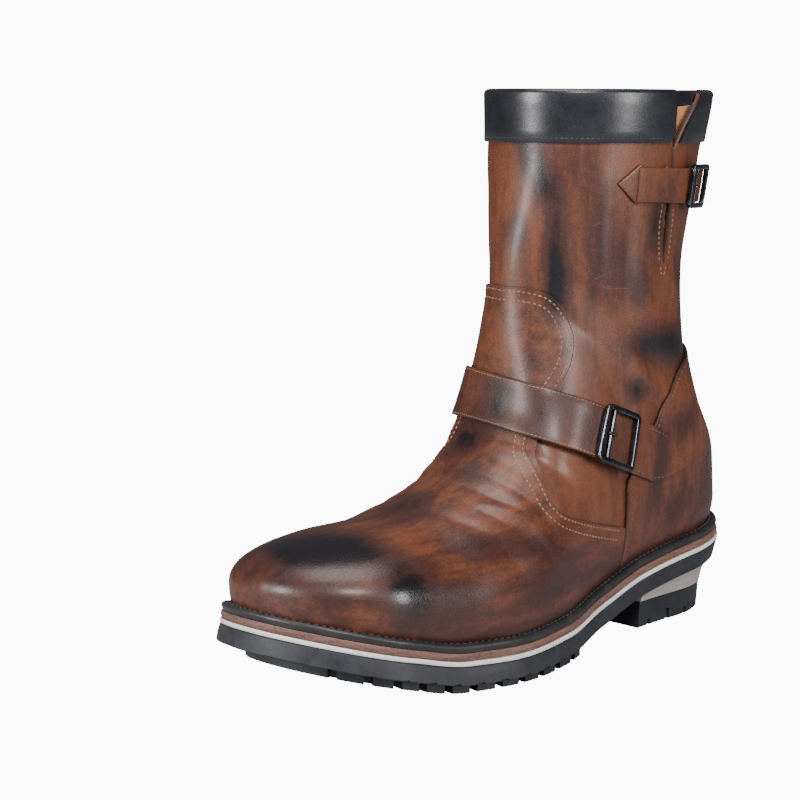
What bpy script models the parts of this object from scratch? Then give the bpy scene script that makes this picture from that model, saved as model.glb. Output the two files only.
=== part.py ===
"""Left engineer boot with a lugged sole, two buckled straps and a side zip.

One solid for each piece that a maker cuts, stacks or fits. +X is the wearer's outer side,
-Y the toe, +Z up, and the origin lies on the floor under the middle of the boot.
Lengths are metres. Every table holds shares of the named sizes above it.
"""
import math

import bmesh
import bpy
import numpy as np
from mathutils import Vector
from mathutils.bvhtree import BVHTree

# Driving sizes
SOLE_LENGTH = 0.305
BALL_WIDTH = 0.113
HEEL_SEAT_HEIGHT = 0.0485
SHAFT_HEIGHT = 0.266
COLLAR_TILT_SIDE = 0.045
COLLAR_TILT_FRONT = -0.051
TOE_SHIFT = -0.008
TOE_SLOPE = 0.06
TIP_BULGE = 0.25

# Sole layers, top to bottom
LAYER_GAP = 0.0003
WELT_GAP = 0.0008
WELT_THICK = 0.0038
MIDSOLE_THICK = 0.0035
RAND_THICK = 0.0022
OUTSOLE_THICK = 0.0086
LUG_DEPTH = 0.0045
GROUND_FLAT = 0.0006
INSOLE_THICK = 0.0030
WELT_REACH = 0.0060
SOLE_EDGE_STEP = 0.0004
OUTSOLE_FLARE = 0.0016
HEEL_FLARE = -0.0030

# Heel
LIFT_THICK = 0.0135
HEEL_BREAST_SHARE = 0.259
HEEL_SIDE_INSET = 0.0045
HEEL_BACK_INSET = 0.0095
STACK_SIDE_INSET = 0.0012
STACK_BACK_INSET = 0.0042
NOTCH_DEPTH = 0.0110
NOTCH_HEIGHT = 0.0045

# Tread
LUG_COUNT = 11
LUG_GROOVE = 0.0042
TREAD_START = 0.475
TREAD_END = 0.965
TREAD_INSET = 0.0010
CENTRE_GROOVE = 0.0060

# Upper and the pieces on it
WALL = 0.0022
PIECE_GAP = 0.0003
CURVE_GAP = 0.0004
INNER_GAP = 0.0008
BAND_GAP = 0.0008
VAMP_THICK = 0.0013
COUNTER_THICK = 0.0013
BAND_THICK = 0.0012
BAND_HEIGHT = 0.0240
BAND_CORNER = 0.0060
BAND_INSIDE = 0.0040
BAND_COLUMNS = 13
RIM_MARGIN = 0.0012
GUSSET_THICK = 0.0012
GUSSET_REACH = 0.0130
GUSSET_DROP = 0.0120

# Side slit at the collar
SLIT_PLACE = 0.249
SLIT_DEPTH = 0.0830
SLIT_FLARE = 0.0028

# Zip on the inner side
ZIP_SLOT = 0.0070
ZIP_TOP_DROP = 0.0160
ZIP_TAPE_DROP = 0.0080
ZIP_TAPE_WIDTH = 0.0220
ZIP_TAPE_THICK = 0.0009
ZIP_TEETH_WIDTH = 0.0056
ZIP_TEETH_THICK = 0.0018
SLIDER_LENGTH = 0.0100
SLIDER_WIDTH = 0.0056
SLIDER_THICK = 0.0034
TAB_LENGTH = 0.0240
TAB_WIDTH = 0.0060
TAB_THICK = 0.0014
TAB_EYE = 0.0040
TAB_PLAY = 0.0006
BRIDGE_WIRE = 0.0014

# Straps and buckles
STRAP_THICK = 0.0020
ANCHOR_THICK = 0.0014
INSTEP_STRAP_WIDTH = 0.0255
INSTEP_STRAP_RISE = 0.4590
INSTEP_STRAP_TILT = -0.384
INSTEP_STRAP_CANT = -0.101
INSTEP_BUCKLE_LENGTH = 0.0235
INSTEP_BUCKLE_WIRE = 0.0030
TOP_STRAP_WIDTH = 0.0170
TOP_STRAP_RISE = 0.8610
TOP_STRAP_TILT = -0.070
TOP_BUCKLE_LENGTH = 0.0205
TOP_BUCKLE_WIRE = 0.0026
BUCKLE_SLACK = 0.0006
INSTEP_AXIS = 0.1475
INSTEP_BUCKLE_PLACE = 0.0930
ANCHOR_SHOULDER = 0.2350
TOP_STRAP_TIP = 0.1423
TOP_BUCKLE_PLACE = 0.2790
WIRE_SIDES = 6
BUCKLE_CORNER = 2

# Fineness of the meshes
SOLE_STATIONS = 28
END_CROWDING = 0.25
END_SHIFT = 6
HALF_STATIONS = 9
HALF_COLUMNS = 11
TOE_ROWS = 6
SUBSTEPS = 4
WELD = 1e-6

# Shape of the outline's ends
HEEL_END = 0.14
TOE_END = 0.20
END_POWER = 2.2
END_ROOT = 2.1

# Sole: place from the heel as a share of SOLE_LENGTH, half-widths as shares of BALL_WIDTH,
# and how far the seat has risen towards HEEL_SEAT_HEIGHT and towards the toe spring
SOLE_TABLE = (
    # place, outer, inner, heel_rise, toe_rise
    (0.00, 0.341, 0.350, 1.000, 0.000),
    (0.13, 0.341, 0.350, 0.815, 0.000),
    (0.27, 0.363, 0.341, 0.612, 0.000),
    (0.40, 0.416, 0.314, 0.280, 0.000),
    (0.52, 0.513, 0.363, 0.060, 0.000),
    (0.64, 0.558, 0.442, 0.000, 0.000),
    (0.74, 0.518, 0.469, 0.000, 0.046),
    (0.85, 0.480, 0.478, 0.000, 0.400),
    (1.00, 0.480, 0.478, 0.000, 1.000),
)
TOE_SPRING = 0.0195

# Upper: a fan of sections from the toe's top to the collar. front_y and back_y are shares of
# SOLE_LENGTH, front_z and back_z of SHAFT_HEIGHT, outer and inner half-widths of BALL_WIDTH.
# station places a section's foot on the feather line (0 the heel's back, 1 the toe);
# hip is the height share of its greatest width, low and top bend its two arcs, and steps
# is the number of mesh rows up to it.
UPPER_TABLE = (
    # front_y, front_z, station, back_y, back_z, outer, inner, hip, low, top, steps
    (-0.3016, 0.2650, 0.7161, 0, 0, 0.455, 0.447, 0.36, 2.20, 2.30, 0),
    (-0.2361, 0.2688, 0.6635, 0, 0, 0.485, 0.451, 0.34, 2.20, 2.15, 2),
    (-0.1639, 0.2914, 0.6155, 0, 0, 0.509, 0.447, 0.32, 2.20, 2.00, 2),
    (-0.0852, 0.3252, 0.5701, 0, 0, 0.509, 0.429, 0.30, 2.20, 1.95, 2),
    (-0.0164, 0.3891, 0.5174, 0, 0, 0.469, 0.416, 0.30, 2.20, 1.90, 2),
    (0.0148, 0.4774, 0.4520, 0, 0, 0.414, 0.389, 0.31, 2.20, 1.90, 2),
    (0.0197, 0.5658, 0.3609, 0, 0, 0.385, 0.367, 0.33, 2.20, 1.90, 2),
    (0.0246, 0.6391, 0.2487, 0, 0, 0.370, 0.357, 0.36, 2.20, 1.95, 2),
    (0.0262, 0.6917, 0.0000, 0, 0, 0.367, 0.354, 0.42, 2.20, 2.00, 5),
    (0.0282, 0.7256, None, 0.4770, 0.2632, 0.367, 0.357, 0.44, 2.20, 2.00, 1),
    (0.0328, 0.7632, None, 0.4410, 0.3496, 0.367, 0.358, 0.46, 2.15, 2.05, 1),
    (0.0433, 0.8271, None, 0.4016, 0.4812, 0.373, 0.370, 0.50, 2.10, 2.10, 1),
    (0.0498, 0.8910, None, 0.3852, 0.6391, 0.393, 0.391, 0.50, 2.05, 2.10, 2),
    (0.0511, 0.9511, None, 0.4157, 0.8195, 0.418, 0.415, 0.50, 2.00, 2.05, 2),
    (0.0502, 1.0113, None, 0.4403, 0.9887, 0.438, 0.438, 0.50, 2.00, 2.00, 2),
)
TILT_START = 0.60

# Edge of the vamp with its tongue in the side view, from the tongue's top to the side seam,
# as shares of SOLE_LENGTH (y) and SHAFT_HEIGHT (z), for each side of the boot
VAMP_EDGE = (
    # outer_y, outer_z, inner_y, inner_z
    (0.0300, 0.663, 0.0300, 0.663),
    (0.0551, 0.652, 0.0551, 0.652),
    (0.0750, 0.625, 0.0750, 0.625),
    (0.0870, 0.573, 0.0870, 0.573),
    (0.0770, 0.529, 0.0800, 0.529),
    (0.0300, 0.450, 0.0400, 0.450),
    (-0.0050, 0.375, 0.0100, 0.380),
    (-0.0161, 0.331, 0.0030, 0.340),
    (-0.0190, 0.298, 0.0080, 0.310),
    (-0.0100, 0.275, 0.0250, 0.289),
    (0.0200, 0.260, 0.0600, 0.278),
    (0.0672, 0.243, 0.1000, 0.271),
    (0.1600, 0.215, 0.1600, 0.262),
)
EDGE_STEPS = 2
SEAM_PLACE = 0.1640

# Top edge of the heel counter in the side view, from the side seam back
COUNTER_TABLE = (
    # y as a share of SOLE_LENGTH, z as a share of SHAFT_HEIGHT
    (0.1640, 0.300),
    (0.2000, 0.340),
    (0.2340, 0.389),
    (0.2715, 0.453),
    (0.3260, 0.507),
    (0.3800, 0.524),
    (0.5000, 0.528),
)

# Zip line on the inner side
ZIP_TABLE = (
    # y as a share of SOLE_LENGTH, z as a share of SHAFT_HEIGHT
    (0.1640, 0.340),
    (0.1702, 0.436),
    (0.1930, 0.512),
    (0.2115, 0.603),
    (0.2292, 0.702),
    (0.2459, 0.824),
    (0.2574, 0.920),
    (0.2640, 0.985),
)

# Slit on the outer side: how far down from the collar, and its two edges
SLIT_TABLE = (
    # depth share, front edge, rear edge as shares of SLIT_MOUTH either side of the line
    (-0.10, -0.08, 1.05),
    (0.00, -0.06, 1.00),
    (0.12, -0.05, 0.66),
    (0.25, -0.04, 0.28),
    (0.36, -0.03, 0.05),
    (0.58, -0.08, 0.09),
    (0.78, -0.16, 0.17),
    (0.92, -0.09, 0.09),
    (1.00, -0.02, 0.02),
)
SLIT_MOUTH = 0.0170

# Notches in the edge of the heel lift
NOTCH_TABLE = (
    # share from breast to back, height share of NOTCH_HEIGHT, width
    (0.13, 0.70, 0.0022),
    (0.36, 1.30, 0.0030),
    (0.58, 0.80, 0.0026),
    (0.76, 0.80, 0.0026),
)

MATERIALS = {
    # name: (colour, roughness, metallic)
    "burnished_leather": ((0.165, 0.058, 0.028), 0.42, 0.0),
    "black_leather": ((0.012, 0.012, 0.016), 0.38, 0.0),
    "tan_leather": ((0.420, 0.190, 0.085), 0.75, 0.0),
    "leather_edge": ((0.170, 0.080, 0.055), 0.70, 0.0),
    "black_welt": ((0.012, 0.011, 0.011), 0.55, 0.0),
    "white_rand": ((0.700, 0.690, 0.680), 0.60, 0.0),
    "black_rubber": ((0.020, 0.020, 0.024), 0.65, 0.0),
    "grey_stack": ((0.330, 0.300, 0.285), 0.80, 0.0),
    "gunmetal": ((0.090, 0.090, 0.100), 0.28, 1.0),
    "zip_steel": ((0.560, 0.560, 0.570), 0.25, 1.0),
    "black_tape": ((0.010, 0.010, 0.011), 0.85, 0.0),
}

LAYERS = (WELT_THICK, MIDSOLE_THICK, RAND_THICK, OUTSOLE_THICK)
BALL_TOP = sum(LAYERS) + 3 * LAYER_GAP + LUG_DEPTH
BREAST_Y = SOLE_LENGTH * (0.5 - HEEL_BREAST_SHARE)
FEATHER_HALF = SOLE_LENGTH / 2 - WELT_REACH
COLLAR_CENTRE = SOLE_LENGTH * (UPPER_TABLE[-1][0] + UPPER_TABLE[-1][3]) / 2
FEATHER_ROW = max(i for i, row in enumerate(UPPER_TABLE) if row[2] is not None)


def ease(x, xs, ys):
    """Smooth curve through (xs, ys) that never swings past its points."""
    xs, ys = np.asarray(xs, float), np.asarray(ys, float)
    step = np.diff(xs)
    rise = np.diff(ys) / step
    slope = np.zeros(len(xs))
    slope[0], slope[-1] = rise[0], rise[-1]
    for i in range(1, len(xs) - 1):
        if rise[i - 1] * rise[i] > 0:
            before, after = 2 * step[i] + step[i - 1], step[i] + 2 * step[i - 1]
            slope[i] = (before + after) / (before / rise[i - 1] + after / rise[i])
    x = np.clip(x, xs[0], xs[-1])
    i = np.clip(np.searchsorted(xs, x) - 1, 0, len(xs) - 2)
    t = (x - xs[i]) / step[i]
    return ((1 + 2 * t) * (1 - t) ** 2 * ys[i] + t * (1 - t) ** 2 * step[i] * slope[i]
            + t * t * (3 - 2 * t) * ys[i + 1] - t * t * (1 - t) * step[i] * slope[i + 1])


def column(table, index, x):
    """Value of a table's column at x, with the first column as its places."""
    return ease(x, [row[0] for row in table], [row[index] for row in table])


def half_width(y, side, grow=0.0):
    """Half-width of the sole's outline at y, grown outwards by grow all round."""
    place = np.clip((SOLE_LENGTH / 2 + grow - y) / (SOLE_LENGTH + 2 * grow), 0, 1)
    width = column(SOLE_TABLE, 1 if side > 0 else 2, place) * BALL_WIDTH + grow
    heel = np.clip((HEEL_END - place) / HEEL_END, 0, 1)
    toe = np.clip((place - (1 - TOE_END)) / TOE_END, 0, 1)
    return width * (1 - heel ** END_POWER) ** (1 / END_ROOT) * (1 - toe ** END_POWER) ** (1 / END_ROOT)


def middle(y):
    """Sideways shift of the sole's middle, which turns inwards at the toe."""
    place = np.clip(0.5 - y / SOLE_LENGTH, 0, 1)
    return TOE_SHIFT * ease(place, (0, 0.6, 0.84, 1), (0, 0, 0, 1))


def seat(y):
    """Height of the welt's top face along the boot."""
    place = np.clip(0.5 - y / SOLE_LENGTH, 0, 1)
    return (BALL_TOP + column(SOLE_TABLE, 3, place) * (HEEL_SEAT_HEIGHT - BALL_TOP)
            + column(SOLE_TABLE, 4, place) * TOE_SPRING)


def layer_top(index):
    """Depth of a sole layer's top face under the welt's top."""
    return sum(LAYERS[:index]) + index * LAYER_GAP


def wall_bottom(y):
    """Height of the rubber sole's lower edge."""
    return seat(y) - layer_top(3) - OUTSOLE_THICK


def tread_bottom(y):
    """Height of the lugs' faces: flat on the floor under the ball, rising to the toe."""
    return np.maximum(wall_bottom(y) - LUG_DEPTH - GROUND_FLAT, 0.0)


def profile(start, width, hip, low, top, height, count):
    """Half a section as rise shares and half-widths, evenly spaced along its arc."""
    q = np.linspace(0, 1, 201)
    openness = min(start / width, 1.0)
    rise_low = hip * (q * openness + (1 - np.cos(q * math.pi / 2)) * (1 - openness))
    power = openness + (1 - openness) / low
    grown = np.clip(1 - (1 - rise_low / hip) ** low, 0, 1) ** power
    wide_low = start + (width - start) * grown
    arc = np.sin(q * math.pi / 2)
    rise_top = hip + (1 - hip) * arc
    wide_top = width * np.clip(1 - arc ** top, 0, 1) ** (1 / top)
    rise = np.r_[rise_low, rise_top[1:]]
    wide = np.r_[wide_low, wide_top[1:]]
    length = np.r_[0, np.cumsum(np.hypot(np.diff(rise) * height, np.diff(wide)))]
    even = np.linspace(0, length[-1], count)
    return np.interp(even, length, rise), np.interp(even, length, wide)


def feather_y(station):
    """Place on the feather line: 0 the heel's back, 1 the toe."""
    return FEATHER_HALF * math.cos(math.pi * station)


def section(row, count):
    """Points of one section of the fan, from its outer foot over the front to its inner foot."""
    front_y, front_z, back_y, back_z, outer, inner, hip, low, top, grounded = row
    height = math.hypot(front_y - back_y, front_z - back_z)
    halves = []
    for side, width in ((1, outer), (-1, inner)):
        start = float(half_width(back_y, side, -WELT_REACH)) if grounded else 0.0
        rise, wide = profile(start, max(width, start), hip, low, top, height, count)
        centre = float(middle(back_y)) * (1 - rise) if grounded else 0 * rise
        halves.append(np.stack([centre + side * wide,
                                back_y + (front_y - back_y) * rise,
                                back_z + (front_z - back_z) * rise], 1))
    return np.concatenate([halves[0], halves[1][::-1][1:]])


def fan_rows():
    """Sections from the toe's top to the collar, SUBSTEPS to each mesh row."""
    marks = np.cumsum([row[10] for row in UPPER_TABLE])
    last = marks[FEATHER_ROW]
    rows = []
    for k in range(marks[-1] * SUBSTEPS + 1):
        t = k / SUBSTEPS
        grounded = t <= last
        front_y = ease(t, marks, [row[0] for row in UPPER_TABLE]) * SOLE_LENGTH
        front_z = ease(t, marks, [row[1] for row in UPPER_TABLE]) * SHAFT_HEIGHT
        if grounded:
            stations = [row[2] for row in UPPER_TABLE[:FEATHER_ROW + 1]]
            back_y = feather_y(float(ease(t, marks[:FEATHER_ROW + 1], stations)))
            back_z = float(seat(back_y))
        else:
            upper = UPPER_TABLE[FEATHER_ROW + 1:]
            ys = [FEATHER_HALF] + [row[3] * SOLE_LENGTH for row in upper]
            zs = [float(seat(FEATHER_HALF))] + [row[4] * SHAFT_HEIGHT for row in upper]
            back_y = float(ease(t, marks[FEATHER_ROW:], ys))
            back_z = float(ease(t, marks[FEATHER_ROW:], zs))
        shape = [float(ease(t, marks, [row[i] for row in UPPER_TABLE])) for i in range(5, 10)]
        shape[0] *= BALL_WIDTH
        shape[1] *= BALL_WIDTH
        rows.append([float(front_y), float(front_z), back_y, back_z] + shape + [grounded])
    return rows, int(last) * SUBSTEPS


def feather_reach(centre_y, angle, side):
    """Distance from the toe's centre to the feather line in one direction."""
    near, far = 0.0, SOLE_LENGTH / 2
    for _ in range(40):
        reach = (near + far) / 2
        x = side * math.sin(angle) * reach
        y = centre_y - math.cos(angle) * reach
        inside = y > -FEATHER_HALF and side * (x - middle(y)) <= half_width(y, side, -WELT_REACH)
        near, far = (reach, far) if inside else (near, reach)
    return near


def toe_rows(first, count):
    """Half sections turned round the toe's top, from the tip to the fan's first section."""
    centre_y, top_z, foot_y, _, outer, inner, hip, low, top, _ = first
    bulges = [max(width - float(half_width(foot_y, side, -WELT_REACH)), 0.0)
              for side, width in ((1, outer), (-1, inner))]
    rows = []
    for k in range(TOE_ROWS * SUBSTEPS):
        angle = math.pi / 2 * k / (TOE_ROWS * SUBSTEPS)
        sideways = math.sin(angle) ** 2
        halves = []
        for side, bulge in zip((1, -1), bulges):
            reach = feather_reach(centre_y, angle, side if k else 1)
            swell = reach + bulge * sideways + sum(bulges) / 2 * TIP_BULGE * (1 - sideways)
            foot_z = float(seat(centre_y - math.cos(angle) * reach))
            rise, wide = profile(reach, swell, hip, low, top, top_z - foot_z, count)
            y = centre_y - math.cos(angle) * wide
            z = foot_z + (top_z - foot_z) * rise + TOE_SLOPE * (y - centre_y) * rise
            halves.append(np.stack([side * math.sin(angle) * wide, y, z], 1))
        rows.append(np.concatenate([halves[0], halves[1][::-1][1:]]))
    return rows


def weld(points):
    """Number the distinct points of a grid; those that coincide share a number."""
    keys = np.round(points.reshape(-1, 3) / WELD).astype(np.int64)
    _, first, ids = np.unique(keys, axis=0, return_index=True, return_inverse=True)
    return ids.reshape(points.shape[:-1]), first


def grid_faces(ids, skip=()):
    """Triangles of a grid of numbers, without those that collapse."""
    faces = []
    for i in range(ids.shape[0] - 1):
        for j in range(ids.shape[1] - 1):
            if (i, j) in skip:
                continue
            a, b, c, d = (int(v) for v in (ids[i, j], ids[i, j + 1], ids[i + 1, j + 1],
                                           ids[i + 1, j]))
            pair = ((a, b, c), (a, c, d)) if 2 * j < ids.shape[1] - 1 else ((a, b, d), (b, c, d))
            faces += [list(face) for face in pair if len(set(face)) == 3]
    return faces


def grid_normals(points, ids, count):
    """Smooth outward normals of a grid, shared where its points coincide."""
    total = np.zeros((count, 3))
    across = points[1:, 1:] - points[:-1, :-1]
    along = points[:-1, 1:] - points[1:, :-1]
    faces = np.cross(across, along)
    for corner in (ids[:-1, :-1], ids[:-1, 1:], ids[1:, 1:], ids[1:, :-1]):
        np.add.at(total, corner.reshape(-1), faces.reshape(-1, 3))
    total /= np.linalg.norm(total, axis=1)[:, None] + 1e-12
    return total[ids]


def smooth_step(x):
    """0 below 0, 1 above 1, with soft ends."""
    x = np.clip(x, 0, 1)
    return x * x * (3 - 2 * x)


class Form:
    """Outer face of the upper on a fine grid, from which every piece on it is measured."""

    def __init__(self, flared):
        rows, last = fan_rows()
        count = HALF_COLUMNS * SUBSTEPS + 1
        toe = toe_rows(rows[0], count)
        self.points = np.array(toe + [section(row, count) for row in rows])
        self.feather_row = TOE_ROWS * SUBSTEPS + last
        self.lean()
        self.measure()
        if flared:
            self.flare()
            self.measure()

    def lean(self):
        """Tilt the collar's plane sideways."""
        points = self.points
        share = smooth_step((points[..., 2] / SHAFT_HEIGHT - TILT_START) / (1 - TILT_START))
        points[..., 2] += COLLAR_TILT_SIDE * points[..., 0] * share

    def flare(self):
        """Turn the flap behind the slit outwards."""
        x, y, z = (self.points[..., i] for i in range(3))
        behind = smooth_step((y - slit_y()) / SLIT_MOUTH) * (x > 0)
        fade = np.exp(-np.maximum(y - slit_y() - SLIT_MOUTH, 0) / (2 * SLIT_MOUTH))
        rise = smooth_step((z - SHAFT_HEIGHT + 0.4 * SLIT_DEPTH) / (0.4 * SLIT_DEPTH))
        self.points += self.normals * (SLIT_FLARE * behind * fade * rise)[..., None]

    def measure(self):
        ids, first = weld(self.points)
        self.normals = grid_normals(self.points, ids, len(first))
        if ((self.points - self.points.mean((0, 1))) * self.normals).sum() < 0:
            self.normals = -self.normals
        self.corners = self.points.reshape(-1, 3)[first]
        self.bends = self.normals.reshape(-1, 3)[first]
        self.faces = grid_faces(ids)
        self.tree = BVHTree.FromPolygons([Vector(p) for p in self.corners], self.faces)

    def hit(self, origin, direction):
        """Where a ray from inside meets the form, with the form's smooth normal there."""
        place, _, index, _ = self.tree.ray_cast(Vector(origin), Vector(direction))
        corners = [Vector(self.corners[v]) for v in self.faces[index]]
        near = [1 / ((c - place).length + 1e-6) for c in corners]
        normal = sum(n * self.bends[v] for n, v in zip(near, self.faces[index]))
        return np.array(place), normal / np.linalg.norm(normal)

    def side(self, y, z, side, offset):
        """Point of the form straight out sideways from (y, z)."""
        point, normal = self.hit((0, y, z), (side, 0, 0))
        return point + normal * offset


def slit_y():
    return SOLE_LENGTH * SLIT_PLACE


def rim_height(x, y):
    """Height of the collar's rim."""
    return SHAFT_HEIGHT + COLLAR_TILT_SIDE * x + COLLAR_TILT_FRONT * (y - COLLAR_CENTRE)


def material(name):
    """Principled material of a part's colour, roughness and metallic value."""
    if name in bpy.data.materials:
        return bpy.data.materials[name]
    colour, roughness, metallic = MATERIALS[name]
    made = bpy.data.materials.new(name)
    made.use_nodes = True
    shader = made.node_tree.nodes["Principled BSDF"]
    shader.inputs["Base Color"].default_value = (*colour, 1)
    shader.inputs["Roughness"].default_value = roughness
    shader.inputs["Metallic"].default_value = metallic
    return made


def solid(name, points, faces, finish, smooth=True):
    """Object from points and faces, with its faces turned outwards."""
    mesh = bpy.data.meshes.new(name)
    mesh.from_pydata([tuple(map(float, p)) for p in points], [], faces)
    work = bmesh.new()
    work.from_mesh(mesh)
    bmesh.ops.remove_doubles(work, verts=work.verts, dist=WELD)
    bmesh.ops.dissolve_degenerate(work, edges=work.edges, dist=WELD)
    bmesh.ops.recalc_face_normals(work, faces=work.faces)
    work.to_mesh(mesh)
    work.free()
    if smooth:
        mesh.shade_smooth()
        mesh.set_sharp_from_angle(angle=math.radians(35))
    made = bpy.data.objects.new(name, mesh)
    bpy.context.collection.objects.link(made)
    if finish:
        mesh.materials.append(material(finish))
    return made


def cutter(name, points, faces):
    """A solid that only cuts."""
    made = solid(name, points, faces, None, smooth=False)
    made.hide_render = True
    made.display_type = 'WIRE'
    return made


def combine(target, tool, operation='DIFFERENCE'):
    """Boolean of an object with a cutter."""
    modifier = target.modifiers.new(tool.name, 'BOOLEAN')
    modifier.operation = operation
    modifier.solver = 'EXACT'
    modifier.object = tool


def between(outer, inner, faces):
    """Close two like layers of points into a solid, with walls along their open edges."""
    count = len(outer)
    uses = {}
    for face in faces:
        for n, a in enumerate(face):
            uses.setdefault(frozenset((face[n - 1], a)), []).append((face[n - 1], a))
    walls = [[b, a, a + count, b + count] for (a, b) in
             (pair[0] for pair in uses.values() if len(pair) == 1)]
    back = [[v + count for v in reversed(face)] for face in faces]
    return np.concatenate([outer, inner]), faces + back + walls


def shell(name, points, normals, near, far, finish, skip=()):
    """Closed shell between two offsets of a grid."""
    ids, first = weld(points)
    flat = points.reshape(-1, 3)[first]
    mean = np.zeros_like(flat)
    np.add.at(mean, ids.reshape(-1), normals.reshape(-1, 3))
    mean /= np.linalg.norm(mean, axis=1)[:, None]
    verts, faces = between(flat + mean * far, flat + mean * near, grid_faces(ids, skip))
    return solid(name, verts, faces, finish)


def patch(name, outer, inner, finish):
    """Closed sheet between two like grids of points."""
    outer, inner = np.array(outer), np.array(inner)
    ids = np.arange(outer.shape[0] * outer.shape[1]).reshape(outer.shape[:2])
    verts, faces = between(outer.reshape(-1, 3), inner.reshape(-1, 3), grid_faces(ids))
    return solid(name, verts, faces, finish)


def loft(name, loops, finish, closed=True, smooth=True):
    """Solid through like loops of points, with flat ends or joined into a ring."""
    loops = np.array(loops)
    rows, size = loops.shape[:2]
    faces = []
    for i in range(rows - 1 if closed else rows):
        for j in range(size):
            a, b = i * size + j, i * size + (j + 1) % size
            c, d = ((i + 1) % rows) * size + (j + 1) % size, ((i + 1) % rows) * size + j
            faces.append([a, b, c, d])
    if closed:
        faces += [list(range(size)), [(rows - 1) * size + j for j in reversed(range(size))]]
    return solid(name, loops.reshape(-1, 3), faces, finish, smooth)


def box(centre, size, turn=0.0):
    """Corners and faces of a box turned round Z."""
    cos, sin = math.cos(turn), math.sin(turn)
    points = []
    for dz in (-1, 1):
        for dx, dy in ((-1, -1), (1, -1), (1, 1), (-1, 1)):
            x, y = dx * size[0] / 2, dy * size[1] / 2
            points.append((centre[0] + x * cos - y * sin, centre[1] + x * sin + y * cos,
                           centre[2] + dz * size[2] / 2))
    faces = [[0, 3, 2, 1], [4, 5, 6, 7], [0, 1, 5, 4], [1, 2, 6, 5], [2, 3, 7, 6], [3, 0, 4, 7]]
    return points, faces


def boxes(name, items):
    """One cutter from several boxes that don't touch."""
    points, faces = [], []
    for item in items:
        p, f = box(*item)
        faces += [[v + len(points) for v in face] for face in f]
        points += p
    return cutter(name, points, faces)


def stations(back, front, ends):
    """Places along the boot, close together at its rounded ends."""
    if ends == 'both':
        share = np.linspace(0, 1, SOLE_STATIONS + 1)
        turn = math.pi * (share - END_CROWDING * np.sin(2 * math.pi * share) / (2 * math.pi))
        return (back + front) / 2 + (back - front) / 2 * np.cos(turn)
    if ends == 'back':
        turn = np.linspace(0, math.pi / 2, HALF_STATIONS + 1)
        return front + (back - front) * np.cos(turn)
    turn = np.linspace(0, math.pi / 2, SOLE_STATIONS - 8)
    return back + (front - back) * np.sin(turn)


def outline(grow_back, grow_front, height, cut=None, ends='both', bend=1.0):
    """Outline loop: outer side from back to front, then the inner side back."""
    half = SOLE_LENGTH / 2
    ys = stations(half if ends != 'front' else cut, -half if ends != 'back' else cut, ends)
    share = np.clip((half - ys) / SOLE_LENGTH, 0, 1) ** bend
    grow = grow_back + (grow_front - grow_back) * share
    ys = ys + grow * np.sign(ys) * np.abs(ys / half) ** END_SHIFT
    outer = [(middle(y) + half_width(y, 1, g), y, height(y)) for y, g in zip(ys, grow)]
    inner = [(middle(y) - half_width(y, -1, g), y, height(y)) for y, g in zip(ys, grow)]
    return np.array(outer), np.array(inner)


def sole_body(name, layers, finish, smooth=True):
    """Solid through outlines from top to bottom, capped by strips across the boot."""
    rows = len(layers[0][0])
    points = np.concatenate([np.concatenate(pair) for pair in layers])
    faces = []
    for k in range(len(layers) - 1):
        for side in (0, 1):
            for i in range(rows - 1):
                a = k * 2 * rows + side * rows + i
                faces.append([a, a + 1, a + 1 + 2 * rows, a + 2 * rows])
        for i in (0, rows - 1):
            a = k * 2 * rows + i
            faces.append([a, a + rows, a + 3 * rows, a + 2 * rows])
    for k in (0, len(layers) - 1):
        for i in range(rows - 1):
            a = k * 2 * rows + i
            faces.append([a, a + 1, a + 1 + rows, a + rows])
    return solid(name, points, faces, finish, smooth)


def below(depth):
    """Height function a fixed depth under the welt's top."""
    return lambda y: seat(y) - depth


def add_sole_layers():
    """Leather midsole, white rand and the welt that runs all round."""
    for name, index, grow, finish in (("midsole", 1, -SOLE_EDGE_STEP, "leather_edge"),
                                      ("rand", 2, 0.0, "white_rand")):
        top, bottom = layer_top(index), layer_top(index) + LAYERS[index]
        sole_body(name, [outline(grow, grow, below(depth)) for depth in (top, bottom)], finish)
    outer, inner = -2 * SOLE_EDGE_STEP, -WELT_REACH + WELT_GAP
    ring = [outline(grow, grow, below(depth)) for grow, depth in
            ((outer, 0.0), (outer, WELT_THICK), (inner, WELT_THICK), (inner, 0.0))]
    loops = [np.concatenate([a, b[::-1][1:-1]]) for a, b in ring]
    loft("welt", loops, "black_welt", closed=False)


def add_outsole():
    """Full rubber sole with lugs under the forefoot, flared at its lower edge."""
    flare = [(0.0, 0.0, layer_top(3)), (HEEL_FLARE, OUTSOLE_FLARE, layer_top(3) + OUTSOLE_THICK)]
    sole = sole_body("outsole", [outline(b, f, below(d), bend=0.5) for b, f, d in flare],
                     "black_rubber")
    start = SOLE_LENGTH * (0.5 - TREAD_START)
    toe_inset = -SOLE_LENGTH * (1 - TREAD_END)
    tread = sole_body("tread", [
        outline(-TREAD_INSET, toe_inset, lambda y: wall_bottom(y) + TREAD_INSET, start, 'front', 3),
        outline(-TREAD_INSET, toe_inset, tread_bottom, start, 'front', 3)], None, smooth=False)
    tread.hide_render = True
    tread.display_type = 'WIRE'
    combine(sole, tread, 'UNION')
    combine(sole, boxes("lug_notches", lug_notches()))
    combine(sole, boxes("lug_channels", lug_channels()))


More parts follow.
